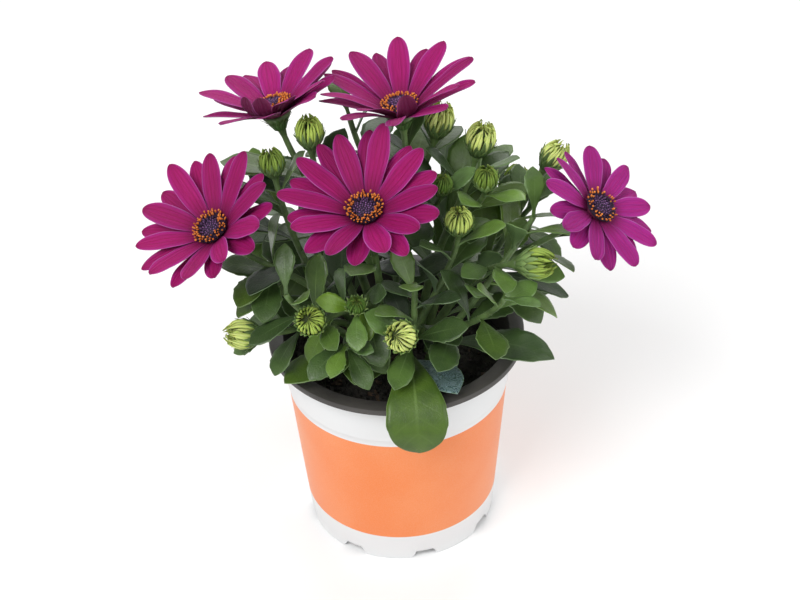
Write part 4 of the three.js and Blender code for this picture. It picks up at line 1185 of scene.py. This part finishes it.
def add_stem(shape, curve, start, cup, settings, rng):
    """A stem with low ribs and short hairs. Under a head it widens into the receptacle's green cup."""
    steps, sides = 40, 12
    t = curve.even(np.linspace(0, 1, steps))
    under = 1 - (cup["deep"] / curve.length if cup else 0)
    share = np.linspace(0, 1, steps) / under
    radius = mix(start, STEM["tip"], np.minimum(share, 1))
    if cup:
        x = np.clip((share - 1) / (1 / under - 1), 0, 1)
        radius = np.where(share > 1, cup_radius(x, cup["radius"]), radius)
    centre, forward = curve.point(t), curve.tangent(t)
    x = unit(np.cross(forward[0], AXIS_Y + 0.001))
    rings, normals = [], []
    angle = np.arange(sides) / sides * FULL_TURN
    ribs = 1 + 0.05 * np.cos(4 * angle)
    for c, f, r in zip(centre, forward, radius):
        x = unit(x - f * (x @ f))
        out = x * np.cos(angle)[:, None] + np.cross(f, x) * np.sin(angle)[:, None]
        rings.append(c + out * r * ribs[:, None])
        normals.append(out)
    shape.tube(rings, slots=STEM_SLOT, tone=0.3 * rng.uniform(-1, 1))
    count = int(curve.length * settings.hairs)
    row, column = rng.integers(6, steps - 1, count), rng.integers(0, sides, count)
    t = rng.uniform(0, 1, count)[:, None]
    rings, normals = np.array(rings), np.array(normals)
    spots = mix(rings[row, column], rings[row + 1, column], t)
    hairs(shape, spots, normals[row, column], settings.hair_length / MM, HAIR_RADIUS, HAIR_SLOT, rng)


def add_bracts(shape, centre, axes, low, high, radius, count, width, slot, rng, age=0.2, open_by=0.1):
    """Two rows of narrow pointed bracts that hug a head. radius gives the head's radius at a height."""
    x, y, z = axes
    edge = 0.06
    for layer in range(2):
        for i in range(count):
            out = spoke(x, y, (i + layer * 0.5) / count * FULL_TURN + rng.uniform(-0.06, 0.06))
            side = np.cross(z, out)
            top = mix(low, high, (1 - 0.3 * layer) * rng.uniform(0.78, 1.08))
            flare = rng.uniform(open_by, open_by + 0.8)
            rings, uv = [], []
            for s, h in zip(np.linspace(0, 1, 9), np.linspace(low, top, 9)):
                r = radius(h) + 0.25 + 0.22 * layer + flare * smooth(0.7, 1, s)
                half = width * (0.75 + 0.6 * s - 1.32 * s**2.4) / 2 + 0.03
                keel = 0.3 * (1 - s) + 0.1
                rim = r - half * half / (2 * r)
                rings.append(section(centre + z * h, out, side, (
                    (rim, -half), (r + keel * 0.6, 0), (rim, half),
                    (rim - edge, half * 0.96), (r - 0.22, 0), (rim - edge, -half * 0.96),
                )))
                uv.append([(s, w) for w in (0, 0.5, 1, 1, 0.5, 0)])
            shape.tube(rings, uv, slot, rng.uniform(-1, 1), age)


class OSTEOSPERMUM_OT_leafy_stems(bpy.types.Operator):
    """Build the twelve leafy stems with their shoots, leaves, hairs and the bracts under the blooms."""

    bl_idname = "osteospermum.leafy_stems"
    bl_label = "Leafy stems"

    def execute(self, context):
        settings = context.scene.osteospermum_leaves
        materials = [
            leaf_material("leaf_upper_side", settings, False),
            leaf_material("leaf_under_side", settings, True),
            grained_material("green_stem", settings.stem_colour, settings.old_colour, 150.0, 0.6, 0.5, 0.25,
                             {"Subsurface Weight": 0.05, "Subsurface Scale": 0.001}),
            grained_material("stem_hairs", (0.42, 0.5, 0.3), (0.3, 0.38, 0.2), 300.0, 0.5, 0.6, 0.0),
            tipped_material("bloom_bracts", (0.06, 0.14, 0.03), (0.28, 0.4, 0.14), 0.2, 0.9, 0.5, 0.5),
        ]
        found = 0
        for number, (root, shoots) in enumerate(STEMS):
            node = f"leafy_stem_{number + 1}"
            tips = self.tips(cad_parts[node])
            shape = Shape()
            rng = np.random.default_rng(SEEDS["stem"] + number)
            curves = []
            for j, made in enumerate(shoots):
                curves.append(shoot_curve(made, root, curves[0] if j else None))
                self.shoot(shape, made, curves[-1], STEM["side"] if j else STEM["base"], settings, rng)
            for index, rim in enumerate(RIM_LEAVES):
                leaf = rim_leaf(index, curves[0]) if rim[0] == number else None
                if leaf and is_there(leaf, tips):
                    found += 1
                    grey, broad = index == BLUE_GREY_LEAF, leaf["width"] > LEAF["broad"]
                    age = 0.3 if broad else 0.42 + 0.16 * jitter(index, 3)
                    slots = GREY_SLOTS if grey else BROAD_SLOTS if broad else LEAF_SLOTS
                    add_leaf(shape, leaf, settings, age, grey, slots)
            for j, made in enumerate(shoots):
                for i in range(made["leaves"]):
                    leaves = (shoot_leaf(curves[j], made, number * 4 + j, i, bend) for bend in BENDS)
                    leaf = next((one for one in leaves if is_there(one, tips)), None)
                    if leaf:
                        found += 1
                        add_leaf(shape, leaf, settings, self.age(leaf))
            own = list(materials)
            if number == RIM_LEAVES[BLUE_GREY_LEAF][0]:
                for kind, grey, margin in (("grey", 1.0, 0.06), ("broad", 0.0, 0.025)):
                    for side in ("upper", "under"):
                        name = f"{kind}_leaf_{side}_side"
                        own.append(leaf_material(name, settings, side == "under", grey, margin))
            settle(shape.made(f"foliage_{number + 1}", own), node)
        wanted = sum(made["leaves"] for _, shoots in STEMS for made in shoots) + len(RIM_LEAVES)
        if found < ENOUGH_LEAVES * wanted:
            raise RuntimeError(f"the frame has only {found} of the {wanted} leaves of this layout")
        print(f"{found} of {wanted} leaves found in the frame")
        return {"FINISHED"}

    def tips(self, node):
        """A lookup of the points of a node of the frame."""
        points = node.data.vertices
        tree = kdtree.KDTree(len(points))
        for i, point in enumerate(points):
            tree.insert(point.co, i)
        tree.balance()
        return tree

    def age(self, leaf):
        """How young a leaf is: the small ones near a tip or a bud are the brightest."""
        small = 1 - (leaf["length"] - YOUNG["length"]) / YOUNG["longer"]
        tip = leaf["base"] + leaf["along"] * leaf["length"]
        fresh = 0
        for bud, bright in FRESH_BUDS.items():
            away = float(np.linalg.norm(tip - BUDS[bud][0]))
            fresh = max(fresh, bright * (1 - smooth(YOUNG["near"], YOUNG["far"], away)))
        young = 0.03 + 0.56 * leaf["share"] * small + fresh + 0.2 * jitter(leaf["own"], 25)
        return float(np.clip(young, 0, 1))

    def shoot(self, shape, made, curve, start, settings, rng):
        """A shoot's stem and, under a bloom, its bracts."""
        deep, cup = HEAD["calyx_deep"], None
        if made["kind"] == "bloom":
            cup = {"radius": HEAD["calyx"], "deep": deep}
        elif made["kind"] == "bud":
            size = BUDS[made["value"]][2]
            cup = {"radius": BUD["calyx"] * size, "deep": BUD["calyx_deep"] * size}
        add_stem(shape, curve, start, cup, settings, rng)
        if made["kind"] == "bloom":

            def radius(h):
                return cup_radius(np.clip(1 + h / deep, 0, 1), HEAD["calyx"])

            axes = facing(BLOOMS[made["value"]][1])
            add_bracts(shape, stalk_end(made)[0], axes, -deep * 0.75, 0.35, radius, BLOOM_BRACTS["count"],
                       BLOOM_BRACTS["width"], BRACT_SLOT, rng)


# ---- Blooms ----


def petals_of(bloom):
    """Each petal of a bloom: its angle round the head, rise, reach, width and bend."""
    _, _, reach, rise, width, count, first, curled = BLOOMS[bloom]
    vary = PETAL["vary"]
    petals = []
    for layer in range(2):
        for i in range(count):
            key = bloom * 40 + layer * 20 + i
            face = 360 / count * (i + layer * 0.5) + first
            raised = PETAL["layer_rise"] - layer * PETAL["layer_gap"]
            petals.append({
                "key": key,
                "layer": layer,
                "face": face,
                "angle": face + vary["angle"] * jitter(key, 0),
                "rise": rise + raised + vary["rise"] * jitter(key, 1),
                "reach": reach * (1 - PETAL["shorter"] * layer + vary["reach"] * jitter(key, 2)),
                "width": width * (1 - PETAL["narrower"] * layer + vary["width"] * jitter(key, 3)),
                "bend": PETAL["bend"] + vary["bend"] * jitter(key, 4),
                "share": 1,
            })
    for i, (chord, share) in curled.items():
        petals[i].update(rise=chord, bend=PETAL["curl"] * chord, share=share)
    return petals


class OSTEOSPERMUM_OT_petals(bpy.types.Operator):
    """Build the ray petals of the open blooms, furrowed and with pale margins, and their hubs."""

    bl_idname = "osteospermum.petals"
    bl_label = "Ray petals"

    def execute(self, context):
        settings = context.scene.osteospermum_blooms
        materials = [
            petal_material("petal_upper_side", settings, False),
            petal_material("petal_under_side", settings, True),
            grained_material("petal_hub", settings.foot_colour, (0.03, 0.01, 0.03), 400.0, 0.5, 0.7, 0.3),
        ]
        deep, top = HEAD["root_deep"] + HEAD["layer_deep"] + 0.35, -HEAD["disc_low"]
        hub = [(0.1, -deep), (4.6, -deep), (5.3, -deep + 0.4), (5.4, -2.8), (5.2, top - 0.4), (4.8, top),
               (0.1, top)]
        for bloom, (at, faces, *_) in enumerate(BLOOMS):
            shape = Shape()
            at, axes = np.array(at, float), facing(faces)
            violet = 1.0 if bloom == len(BLOOMS) - 1 else 0.12 * (bloom % 3)
            for petal in petals_of(bloom):
                self.petal(shape, at, axes, petal, settings, violet)
            turned_shape(shape, hub, at, axes, 24, 2)
            settle(shape.made(f"bloom_{bloom + 1}_rays", materials), f"bloom_{bloom + 1}_petals")
        return {"FINISHED"}

    def petal(self, shape, at, axes, petal, settings, violet):
        """One petal, from the face of the hub where the frame's petal starts."""
        x, y, z = axes
        key, width, furrow = petal["key"], petal["width"], settings.furrow / MM
        wave, phase = 0.3 + 0.2 * jitter(key, 30), math.pi * jitter(key, 31)
        blunt, notch = 0.54 + 0.06 * jitter(key, 32), 0.02 + 0.02 * jitter(key, 33)

        def half(s, w):
            x = np.clip((s - 0.6) / 0.4, 0, 0.9995)
            body = np.where(s < 0.6, 0.2 + 0.3 * np.sin(np.clip(s / 0.6, 0, 1) * math.pi / 2) ** 1.15,
                            0.5 * (1 - x**2.3) ** blunt)
            return width * (body * (1 + notch * np.sin(14 * s + phase + w))) + 0.03

        def relief(s, w, h):
            grooves = -furrow * np.cos(FULL_TURN * 2 * (w + 1)) * (1 - np.abs(w) ** 4)
            channel = 0.5 * w * w * smooth(0, 0.25, s) * (1 - smooth(0.75, 1, s))
            ripple = wave * np.sin(5.5 * s + phase + 0.8 * w) * np.abs(w) * smooth(0.3, 0.7, s)
            fold = 0.15 * np.exp(-((w / 0.12) ** 2)) * (1 - smooth(0.0, 0.6, s))
            return grooves * smooth(0, 0.2, s) + channel - 0.15 + ripple - fold

        def thick(s, w, h):
            return mix(0.5, 0.16, np.abs(w) ** 2) * mix(1.3, 0.8, s)

        # The petals of the violet bloom lie more loosely. A curled petal doesn't roll over its neighbour.
        loose = 1 if violet == 1 else 0.3
        roll = 0 if petal["share"] < 1 else settings.roll + 0.25 * loose * jitter(key, 36)
        lift = math.radians(petal["rise"] + petal["bend"] / 2)
        out = spoke(x, y, math.radians(petal["angle"]))
        along, up = spoke(out, z, lift), z * math.cos(lift) - out * math.sin(lift)
        deep = HEAD["root_deep"] + petal["layer"] * HEAD["layer_deep"]
        spec = {
            "base": at - z * deep + spoke(x, y, math.radians(petal["face"])) * HEAD["hub"],
            "along": along,
            "up": unit(spoke(up, np.cross(along, up), roll)),
            "length": (petal["reach"] - HEAD["hub"]) * petal["share"],
            "bend": petal["bend"],
        }
        rows, columns = 30, 13
        stations = 1 - (1 - np.linspace(0, 1, rows)) ** 1.35
        blade(shape, spec, 1, stations, columns, half, relief, thick, twist=0.4 * loose * jitter(key, 34),
              tone=jitter(key, 35), age=violet)


class OSTEOSPERMUM_OT_discs(bpy.types.Operator):
    """Build the discs: a dome of closed florets and a dark ring of open ones with orange anthers."""

    bl_idname = "osteospermum.discs"
    bl_label = "Discs"

    def execute(self, context):
        settings = context.scene.osteospermum_blooms
        pollen = np.array(settings.anther_colour)
        closed = [
            tipped_material("closed_florets", (0.024, 0.008, 0.034), (0.30, 0.14, 0.36), 0.1, 0.95, 0.6, 0.3),
            grained_material("disc_floor", (0.014, 0.006, 0.022), (0.035, 0.015, 0.05), 600.0, 0.6, 0.7, 0.4),
        ]
        opened = [
            tipped_material("open_florets", (0.010, 0.004, 0.012), (0.10, 0.04, 0.12), 0.4, 1.0, 0.5, 0.2),
            # The anthers run from a dark foot to a paler tip. This is partly their own two-tone colour and
            # partly painted shade at the foot, deep among the packed anthers.
            tipped_material("orange_anthers", pollen * (0.42, 0.24, 0.2), mix(pollen, (1, 0.62, 0.2), 0.25),
                            0.1, 0.9, 0.6, 0.5),
        ]
        for bloom, (at, faces, *_) in enumerate(BLOOMS):
            axes = facing(faces)
            low = np.array(at, float) + axes[2] * (GAP - HEAD["disc_low"])
            rng = np.random.default_rng(SEEDS["bloom"] + bloom)
            dome, outer = Shape(), Shape()
            self.dome(dome, low, axes, settings.closed, rng)
            self.open_ring(outer, low, axes, settings.anthers, RIPE_FLORETS[bloom], rng)
            name = f"bloom_{bloom + 1}"
            settle(dome.made(f"{name}_closed_florets", closed), f"{name}_disc")
            settle(outer.made(f"{name}_open_florets", opened), f"{name}_florets")
        return {"FINISHED"}

    def dome(self, shape, low, axes, count, rng):
        """Closed florets in crossing spirals on a low dome, with taller ones about to open at its edge."""
        x, y, z = axes
        high, wide, outermost = 2.2, 5.0, 4.75
        outline = [(0.05, 0), (wide / 2, 0), (wide, 0)] + [
            (wide * math.cos(a), high * 0.8 * math.sin(a)) for a in np.linspace(0.1, math.pi / 2 - 0.02, 8)]
        turned_shape(shape, outline, low, axes, 28, 1)
        for i in range(count):
            r = outermost * math.sqrt((i + 0.5) / count) + rng.uniform(-0.15, 0.15)
            share = r / outermost
            out = spoke(x, y, math.radians(GOLDEN * i + rng.uniform(-5, 5)))
            height = high * math.sqrt(max(0.0, 1 - (r / wide) ** 2)) * 0.9
            foot = low + out * r + z * (height - 0.35)
            edge = smooth(0.6, 0.9, share)
            up = unit(z + out * (0.07 * r) + (x * rng.uniform(-1, 1) + y * rng.uniform(-1, 1)) * 0.12 * edge)
            a, b = square(up, x + 0.01)
            tall = mix(0.7, 1.0, share) * rng.uniform(0.85, 1.2) + edge * rng.uniform(0.3, 1.2)
            star = mix(0.36, 0.46, share) * np.where(np.arange(10) % 2, 0.66, 1.0)
            rings = [ring(foot + up * tall * h, a, b, star * k, 10, i)
                     for h, k in ((0, 0.7), (0.45, 1.05), (0.8, 0.95), (1.0, 0.5))]
            shape.tube(rings, tone=rng.uniform(-1, 1), age=rng.uniform(0.3, 1) * (1 - 0.45 * edge))

    def open_ring(self, shape, low, axes, total, ripe, rng):
        """Open florets in three rows on a dark ring, and a few more that stand in the disc."""
        turned_shape(shape, [(5.35, 0), (7.3, -0.1), (7.5, 0.5), (6.6, 0.9), (5.35, 0.9)], low, axes, 30, 0)
        rows = ((5.5, 0.1), (6.9, 0.45), (6.2, 0.25))
        for i in range(total):
            radius, lean = rows[i % 3]
            angle = (i + rng.uniform(-0.4, 0.4)) / total * FULL_TURN
            self.floret(shape, low, axes, angle, radius + rng.uniform(-0.35, 0.35), lean, ripe, rng)
        start = rng.uniform(-1.5, -0.7)
        for i in range(7):
            angle = start + 0.22 * i + rng.uniform(-0.1, 0.1)
            self.floret(shape, low + axes[2] * 0.5, axes, angle, rng.uniform(4.2, 5.3), 0.1, ripe, rng)

    def floret(self, shape, low, axes, angle, r, lean, ripe, rng):
        """One open floret: a dark tube with pointed lobes and, where it is ripe, an anther head."""
        x, y, z = axes
        out = spoke(x, y, angle)
        side = np.cross(z, out)
        up = unit(z + out * lean + side * rng.uniform(-0.25, 0.25))
        foot = low + out * r + z * 0.3
        a, b = square(up, side)
        tall = rng.uniform(1.4, 2.3)
        tube = [ring(foot + up * tall * h, a, b, k, 7)
                for h, k in ((0, 0.4), (0.45, 0.46), (0.5, 0.26), (0.95, 0.26))]
        shape.tube(tube, tone=rng.uniform(-1, 1), age=0.3)
        self.lobes(shape, foot + up * tall * 0.42, up, a, b, rng)
        if rng.uniform() < ripe:
            point = unit(up + out * rng.uniform(0.1, 0.9) + side * rng.uniform(-0.35, 0.35))
            self.anther(shape, foot + up * tall * 0.95, point, rng)

    def lobes(self, shape, centre, up, a, b, rng):
        """Five pointed lobes round the mouth of a floret."""
        for k in range(5):
            out = spoke(a, b, (k + rng.uniform(-0.1, 0.1)) / 5 * FULL_TURN)
            side = np.cross(up, out)
            rings = [section(centre + out * (0.3 + 0.75 * s) + up * rise, up, side,
                             ((0, -half), (0.05, 0), (0, half), (-0.05, 0)))
                     for s, half, rise in ((0, 0.2, 0), (0.5, 0.24, 0.16), (1, 0.03, 0.05))]
            shape.tube(rings, tone=rng.uniform(-1, 1), age=0.6)

    def anther(self, shape, foot, point, rng):
        """An anther head covered in pollen: a lumpy little club that points out and up."""
        a, b = square(point, AXIS_Z + 0.013)
        long, size = rng.uniform(1.0, 1.6), rng.uniform(0.32, 0.48)
        rings = [ring(foot + point * long * (h - 0.15), a, b, size * k * rng.uniform(0.85, 1.15, 9), 9)
                 for h, k in ((0, 0.45), (0.15, 0.8), (0.4, 0.95), (0.65, 1.0), (0.85, 0.8), (1.0, 0.3))]
        shape.tube(rings, slots=1, tone=rng.uniform(-1, 1), age=rng.uniform(0.3, 1))


# ---- Buds ----

RIB_SLOT, CORE_SLOT, BUD_BRACT_SLOT, GREEN_CORE_SLOT = 0, 1, 2, 3
PULL = unit(np.array([-0.6, 0, 0.8]))  # where the tips of the tight buds close to


class OSTEOSPERMUM_OT_buds(bpy.types.Operator):
    """Build the closed buds: folded petals whose tips stand in a crown, over green bracts."""

    bl_idname = "osteospermum.buds"
    bl_label = "Closed buds"

    def execute(self, context):
        settings = context.scene.osteospermum_buds
        materials = [
            # The bud petals' last value, 0.65, darkens their sides: painted shade between the folds.
            tipped_material("bud_petals", settings.green_colour, settings.ripe_colour, 0.1, 0.55, 0.6, 0.4,
                            0.0, (0.16, 0.22, 0.03), settings.cream_colour, 0.65),
            grained_material("bud_core", (0.035, 0.055, 0.010), (0.015, 0.025, 0.005), 500.0, 0.6, 0.8, 0.2),
            tipped_material("bud_bracts", (0.045, 0.09, 0.02), (0.30, 0.45, 0.15), 0.1, 1.0, 0.5, 0.5, 0.7),
            grained_material("green_bud_core", (0.075, 0.13, 0.022), (0.035, 0.06, 0.010), 500.0, 0.6, 0.8,
                             0.2),
        ]
        for number, (at, faces, size, ripe) in enumerate(BUDS):
            shape = Shape()
            green = 0.9 if number in FRESH_BUDS else 0.3
            tight = number in TIGHT_BUDS
            self.bud(shape, np.array(at, float), facing(faces), size, ripe, green, tight, settings,
                     np.random.default_rng(SEEDS["bud"] + number))
            settle(shape.made(f"bud_{number + 1}_head", materials), f"bud_{number + 1}")
        return {"FINISHED"}

    def bud(self, shape, at, axes, size, ripe, green, tight, settings, rng):
        """A core, a rib for each folded petal and two rows of bracts. A tight bud's tips close over it."""
        x, y, z = axes
        foot = at + z * GAP
        wide, tall = BUD["radius"] * size, BUD["height"] * size

        def radius(share):
            """The bud's outline, as in the frame: a conical foot, a wide middle and a narrower top."""
            return wide * np.interp(share, (0, 0.1, 0.25, 0.42, 0.6, 0.76, 0.88, 1, 1.1),
                                    (0.42, 0.6, 0.84, 0.98, 1.0, 0.94, 0.84, 0.68, 0.52))

        core = [(0.05, 0)] + [(radius(t) * 0.86, tall * t) for t in np.linspace(0, 0.62, 10)] + [
            (wide * 0.5, tall * 0.7), (0.05, tall * 0.72)]
        turned_shape(shape, core, foot, axes, 20, GREEN_CORE_SLOT if ripe < 0.5 else CORE_SLOT)

        def rib(angle, low, top, inward, half_angle, swirl, lean):
            """One folded petal: from a share of the height to another, drawn in and as wide as an angle."""
            rings, uv = [], []
            if tight:
                lean = lean * 0.5 - 1.7 * inward + 2.2 * float(spoke(x, y, angle) @ PULL)
            for s in np.linspace(0, 1, 13):
                share = mix(low, top, s)
                out = spoke(x, y, angle + swirl * s)
                r = float(radius(share)) * inward + lean * smooth(0.8, 1, s)
                narrow = (1 - 0.15 * smooth(0.5, 0.85, s)) * (1 - 0.93 * smooth(0.72, 1, s) ** 1.2)
                half = r * half_angle * narrow
                deep = 0.2 + 0.55 * math.sin(math.pi * min(s * 1.05, 1)) ** 0.7
                rings.append(section(foot + z * tall * share, out, np.cross(z, out), (
                    (r - 0.3, -half), (r + deep * 0.5, -half * 0.74), (r + deep, 0),
                    (r + deep * 0.5, half * 0.74), (r - 0.3, half), (r - 0.7, 0),
                )))
                uv.append([(s, w) for w in (0, 0.2, 0.5, 0.8, 1, 0.5)])
            shape.tube(rings, uv, RIB_SLOT, rng.uniform(-1, 1), ripe)

        count = settings.ribs
        for i in range(count):
            angle = (i + rng.uniform(-0.15, 0.15)) / count * FULL_TURN
            rib(angle, 0, rng.uniform(0.86, 1.14), 0.92, math.pi / count * rng.uniform(0.85, 1.2),
                0.2 + rng.uniform(-0.12, 0.12), rng.uniform(-1.0, 0.6))
        for i in range(count // 2):
            angle = (i + rng.uniform(-0.3, 0.3)) / (count // 2) * FULL_TURN
            rib(angle, 0.4, rng.uniform(0.84, 1.06), 0.62, math.pi / count * 1.9, 0.3,
                rng.uniform(-2.4, -0.4))

        def outside(h):
            return float(radius(h / tall)) * 0.93 + 0.6

        add_bracts(shape, foot, axes, -0.4, tall * 0.72, outside, settings.bracts, (2.4 + green) * size,
                   BUD_BRACT_SLOT, rng, green, green * 0.4)


# ---- Stage ----

FLOOR = {"half": 4000, "deep": 4, "sharp": 30}
LOOK_AT = Vector((0, 0, 0.14))
# Soft lights: name, place in metres, width in metres and share of the key light's power.
LIGHTS = (
    ("key_light", (-0.55, -0.75, 1.15), 0.7, 1.0),
    ("side_light", (0.95, -0.35, 0.7), 0.8, 0.35),
    ("back_light", (0.1, 0.95, 0.9), 0.8, 0.45),
)
# The camera stands in front and above, rolled a little to the left.
CAMERA = {"at": (0.002307, -0.653469, 0.615473), "right": (0.999369, -0.021387, -0.028371),
          "up": (0.035529, 0.601582, 0.798021), "sensor": 36, "clip": (0.01, 20)}


class OSTEOSPERMUM_OT_stage(bpy.types.Operator):
    """Build the floor, the soft lights and the camera."""

    bl_idname = "osteospermum.stage"
    bl_label = "Stage"

    def execute(self, context):
        settings = context.scene.osteospermum_stage
        scene = context.scene
        scene.view_settings.view_transform = "Standard"
        shape = Shape()
        size = FLOOR["half"]
        corners = ((-size, -size), (size, -size), (size, size), (-size, size))
        shape.tube([[(a, b, z) for a, b in corners] for z in (-FLOOR["deep"], 0)])
        floor = shape.made("studio_floor", [
            grained_material("studio_floor", settings.floor_colour, (0.9, 0.9, 0.9), 6.0, 0.3, 0.8, 0.02)])
        floor.data.set_sharp_from_angle(angle=math.radians(FLOOR["sharp"]))
        world = bpy.data.worlds.new("even_light")
        world.use_nodes = True
        feed(world.node_tree.nodes["Background"].inputs,
             {"Color": (1, 1, 1), "Strength": settings.world_light})
        scene.world = world
        for light in LIGHTS:
            self.lamp(*light, settings.key_power)
        scene.camera = self.camera(settings)
        return {"FINISHED"}

    def placed(self, name, data):
        """An object of the scene for a light or a camera."""
        made = bpy.data.objects.new(name, data)
        bpy.context.scene.collection.objects.link(made)
        return made

    def lamp(self, name, at, size, share, power):
        """A square soft light that looks at the plant."""
        light = bpy.data.lights.new(name, "AREA")
        light.size, light.energy = size, power * share
        made = self.placed(name, light)
        made.location = at
        made.rotation_euler = (LOOK_AT - Vector(at)).to_track_quat("-Z", "Y").to_euler()

    def camera(self, settings):
        lens = bpy.data.cameras.new("camera")
        lens.lens, lens.sensor_width = settings.lens, CAMERA["sensor"]
        lens.clip_start, lens.clip_end = CAMERA["clip"]
        right, up = Vector(CAMERA["right"]), Vector(CAMERA["up"])
        turn = Matrix((right, up, right.cross(up))).transposed().to_4x4()
        made = self.placed("camera", lens)
        made.matrix_world = Matrix.Translation(CAMERA["at"]) @ turn
        return made


# ---- The add-on ----

# The settings of each section and its operators, in the order in which they run.
SECTIONS = {
    "osteospermum_pot": (PotSettings, OSTEOSPERMUM_OT_pot),
    "osteospermum_soil": (SoilSettings, OSTEOSPERMUM_OT_soil),
    "osteospermum_leaves": (LeafSettings, OSTEOSPERMUM_OT_leafy_stems),
    "osteospermum_blooms": (BloomSettings, OSTEOSPERMUM_OT_petals, OSTEOSPERMUM_OT_discs),
    "osteospermum_buds": (BudSettings, OSTEOSPERMUM_OT_buds),
    "osteospermum_stage": (StageSettings, OSTEOSPERMUM_OT_stage),
}


class OSTEOSPERMUM_PT_panel(bpy.types.Panel):
    """The builders of the plant, with their settings."""

    bl_idname = "OSTEOSPERMUM_PT_panel"
    bl_label = "Osteospermum"
    bl_space_type = "VIEW_3D"
    bl_region_type = "UI"
    bl_category = "Osteospermum"

    def draw(self, context):
        for name, (_, *operators) in SECTIONS.items():
            box = self.layout.box()
            for operator in operators:
                box.operator(operator.bl_idname)
            settings = getattr(context.scene, name)
            for title in settings.bl_rna.properties.keys():
                if title not in ("rna_type", "name"):
                    box.prop(settings, title)


CLASSES = [*(cls for classes in SECTIONS.values() for cls in classes), OSTEOSPERMUM_PT_panel]


def register():
    for cls in CLASSES:
        bpy.utils.register_class(cls)
    for name, (settings, *_) in SECTIONS.items():
        setattr(bpy.types.Scene, name, PointerProperty(type=settings))


def unregister():
    for name in SECTIONS:
        delattr(bpy.types.Scene, name)
    for cls in reversed(CLASSES):
        bpy.utils.unregister_class(cls)


def main():
    """Builds every piece in order."""
    register()
    bpy.ops.osteospermum.pot()
    bpy.ops.osteospermum.soil()
    bpy.ops.osteospermum.leafy_stems()
    bpy.ops.osteospermum.petals()
    bpy.ops.osteospermum.discs()
    bpy.ops.osteospermum.buds()
    bpy.ops.osteospermum.stage()


if __name__ == "__main__":
    main()
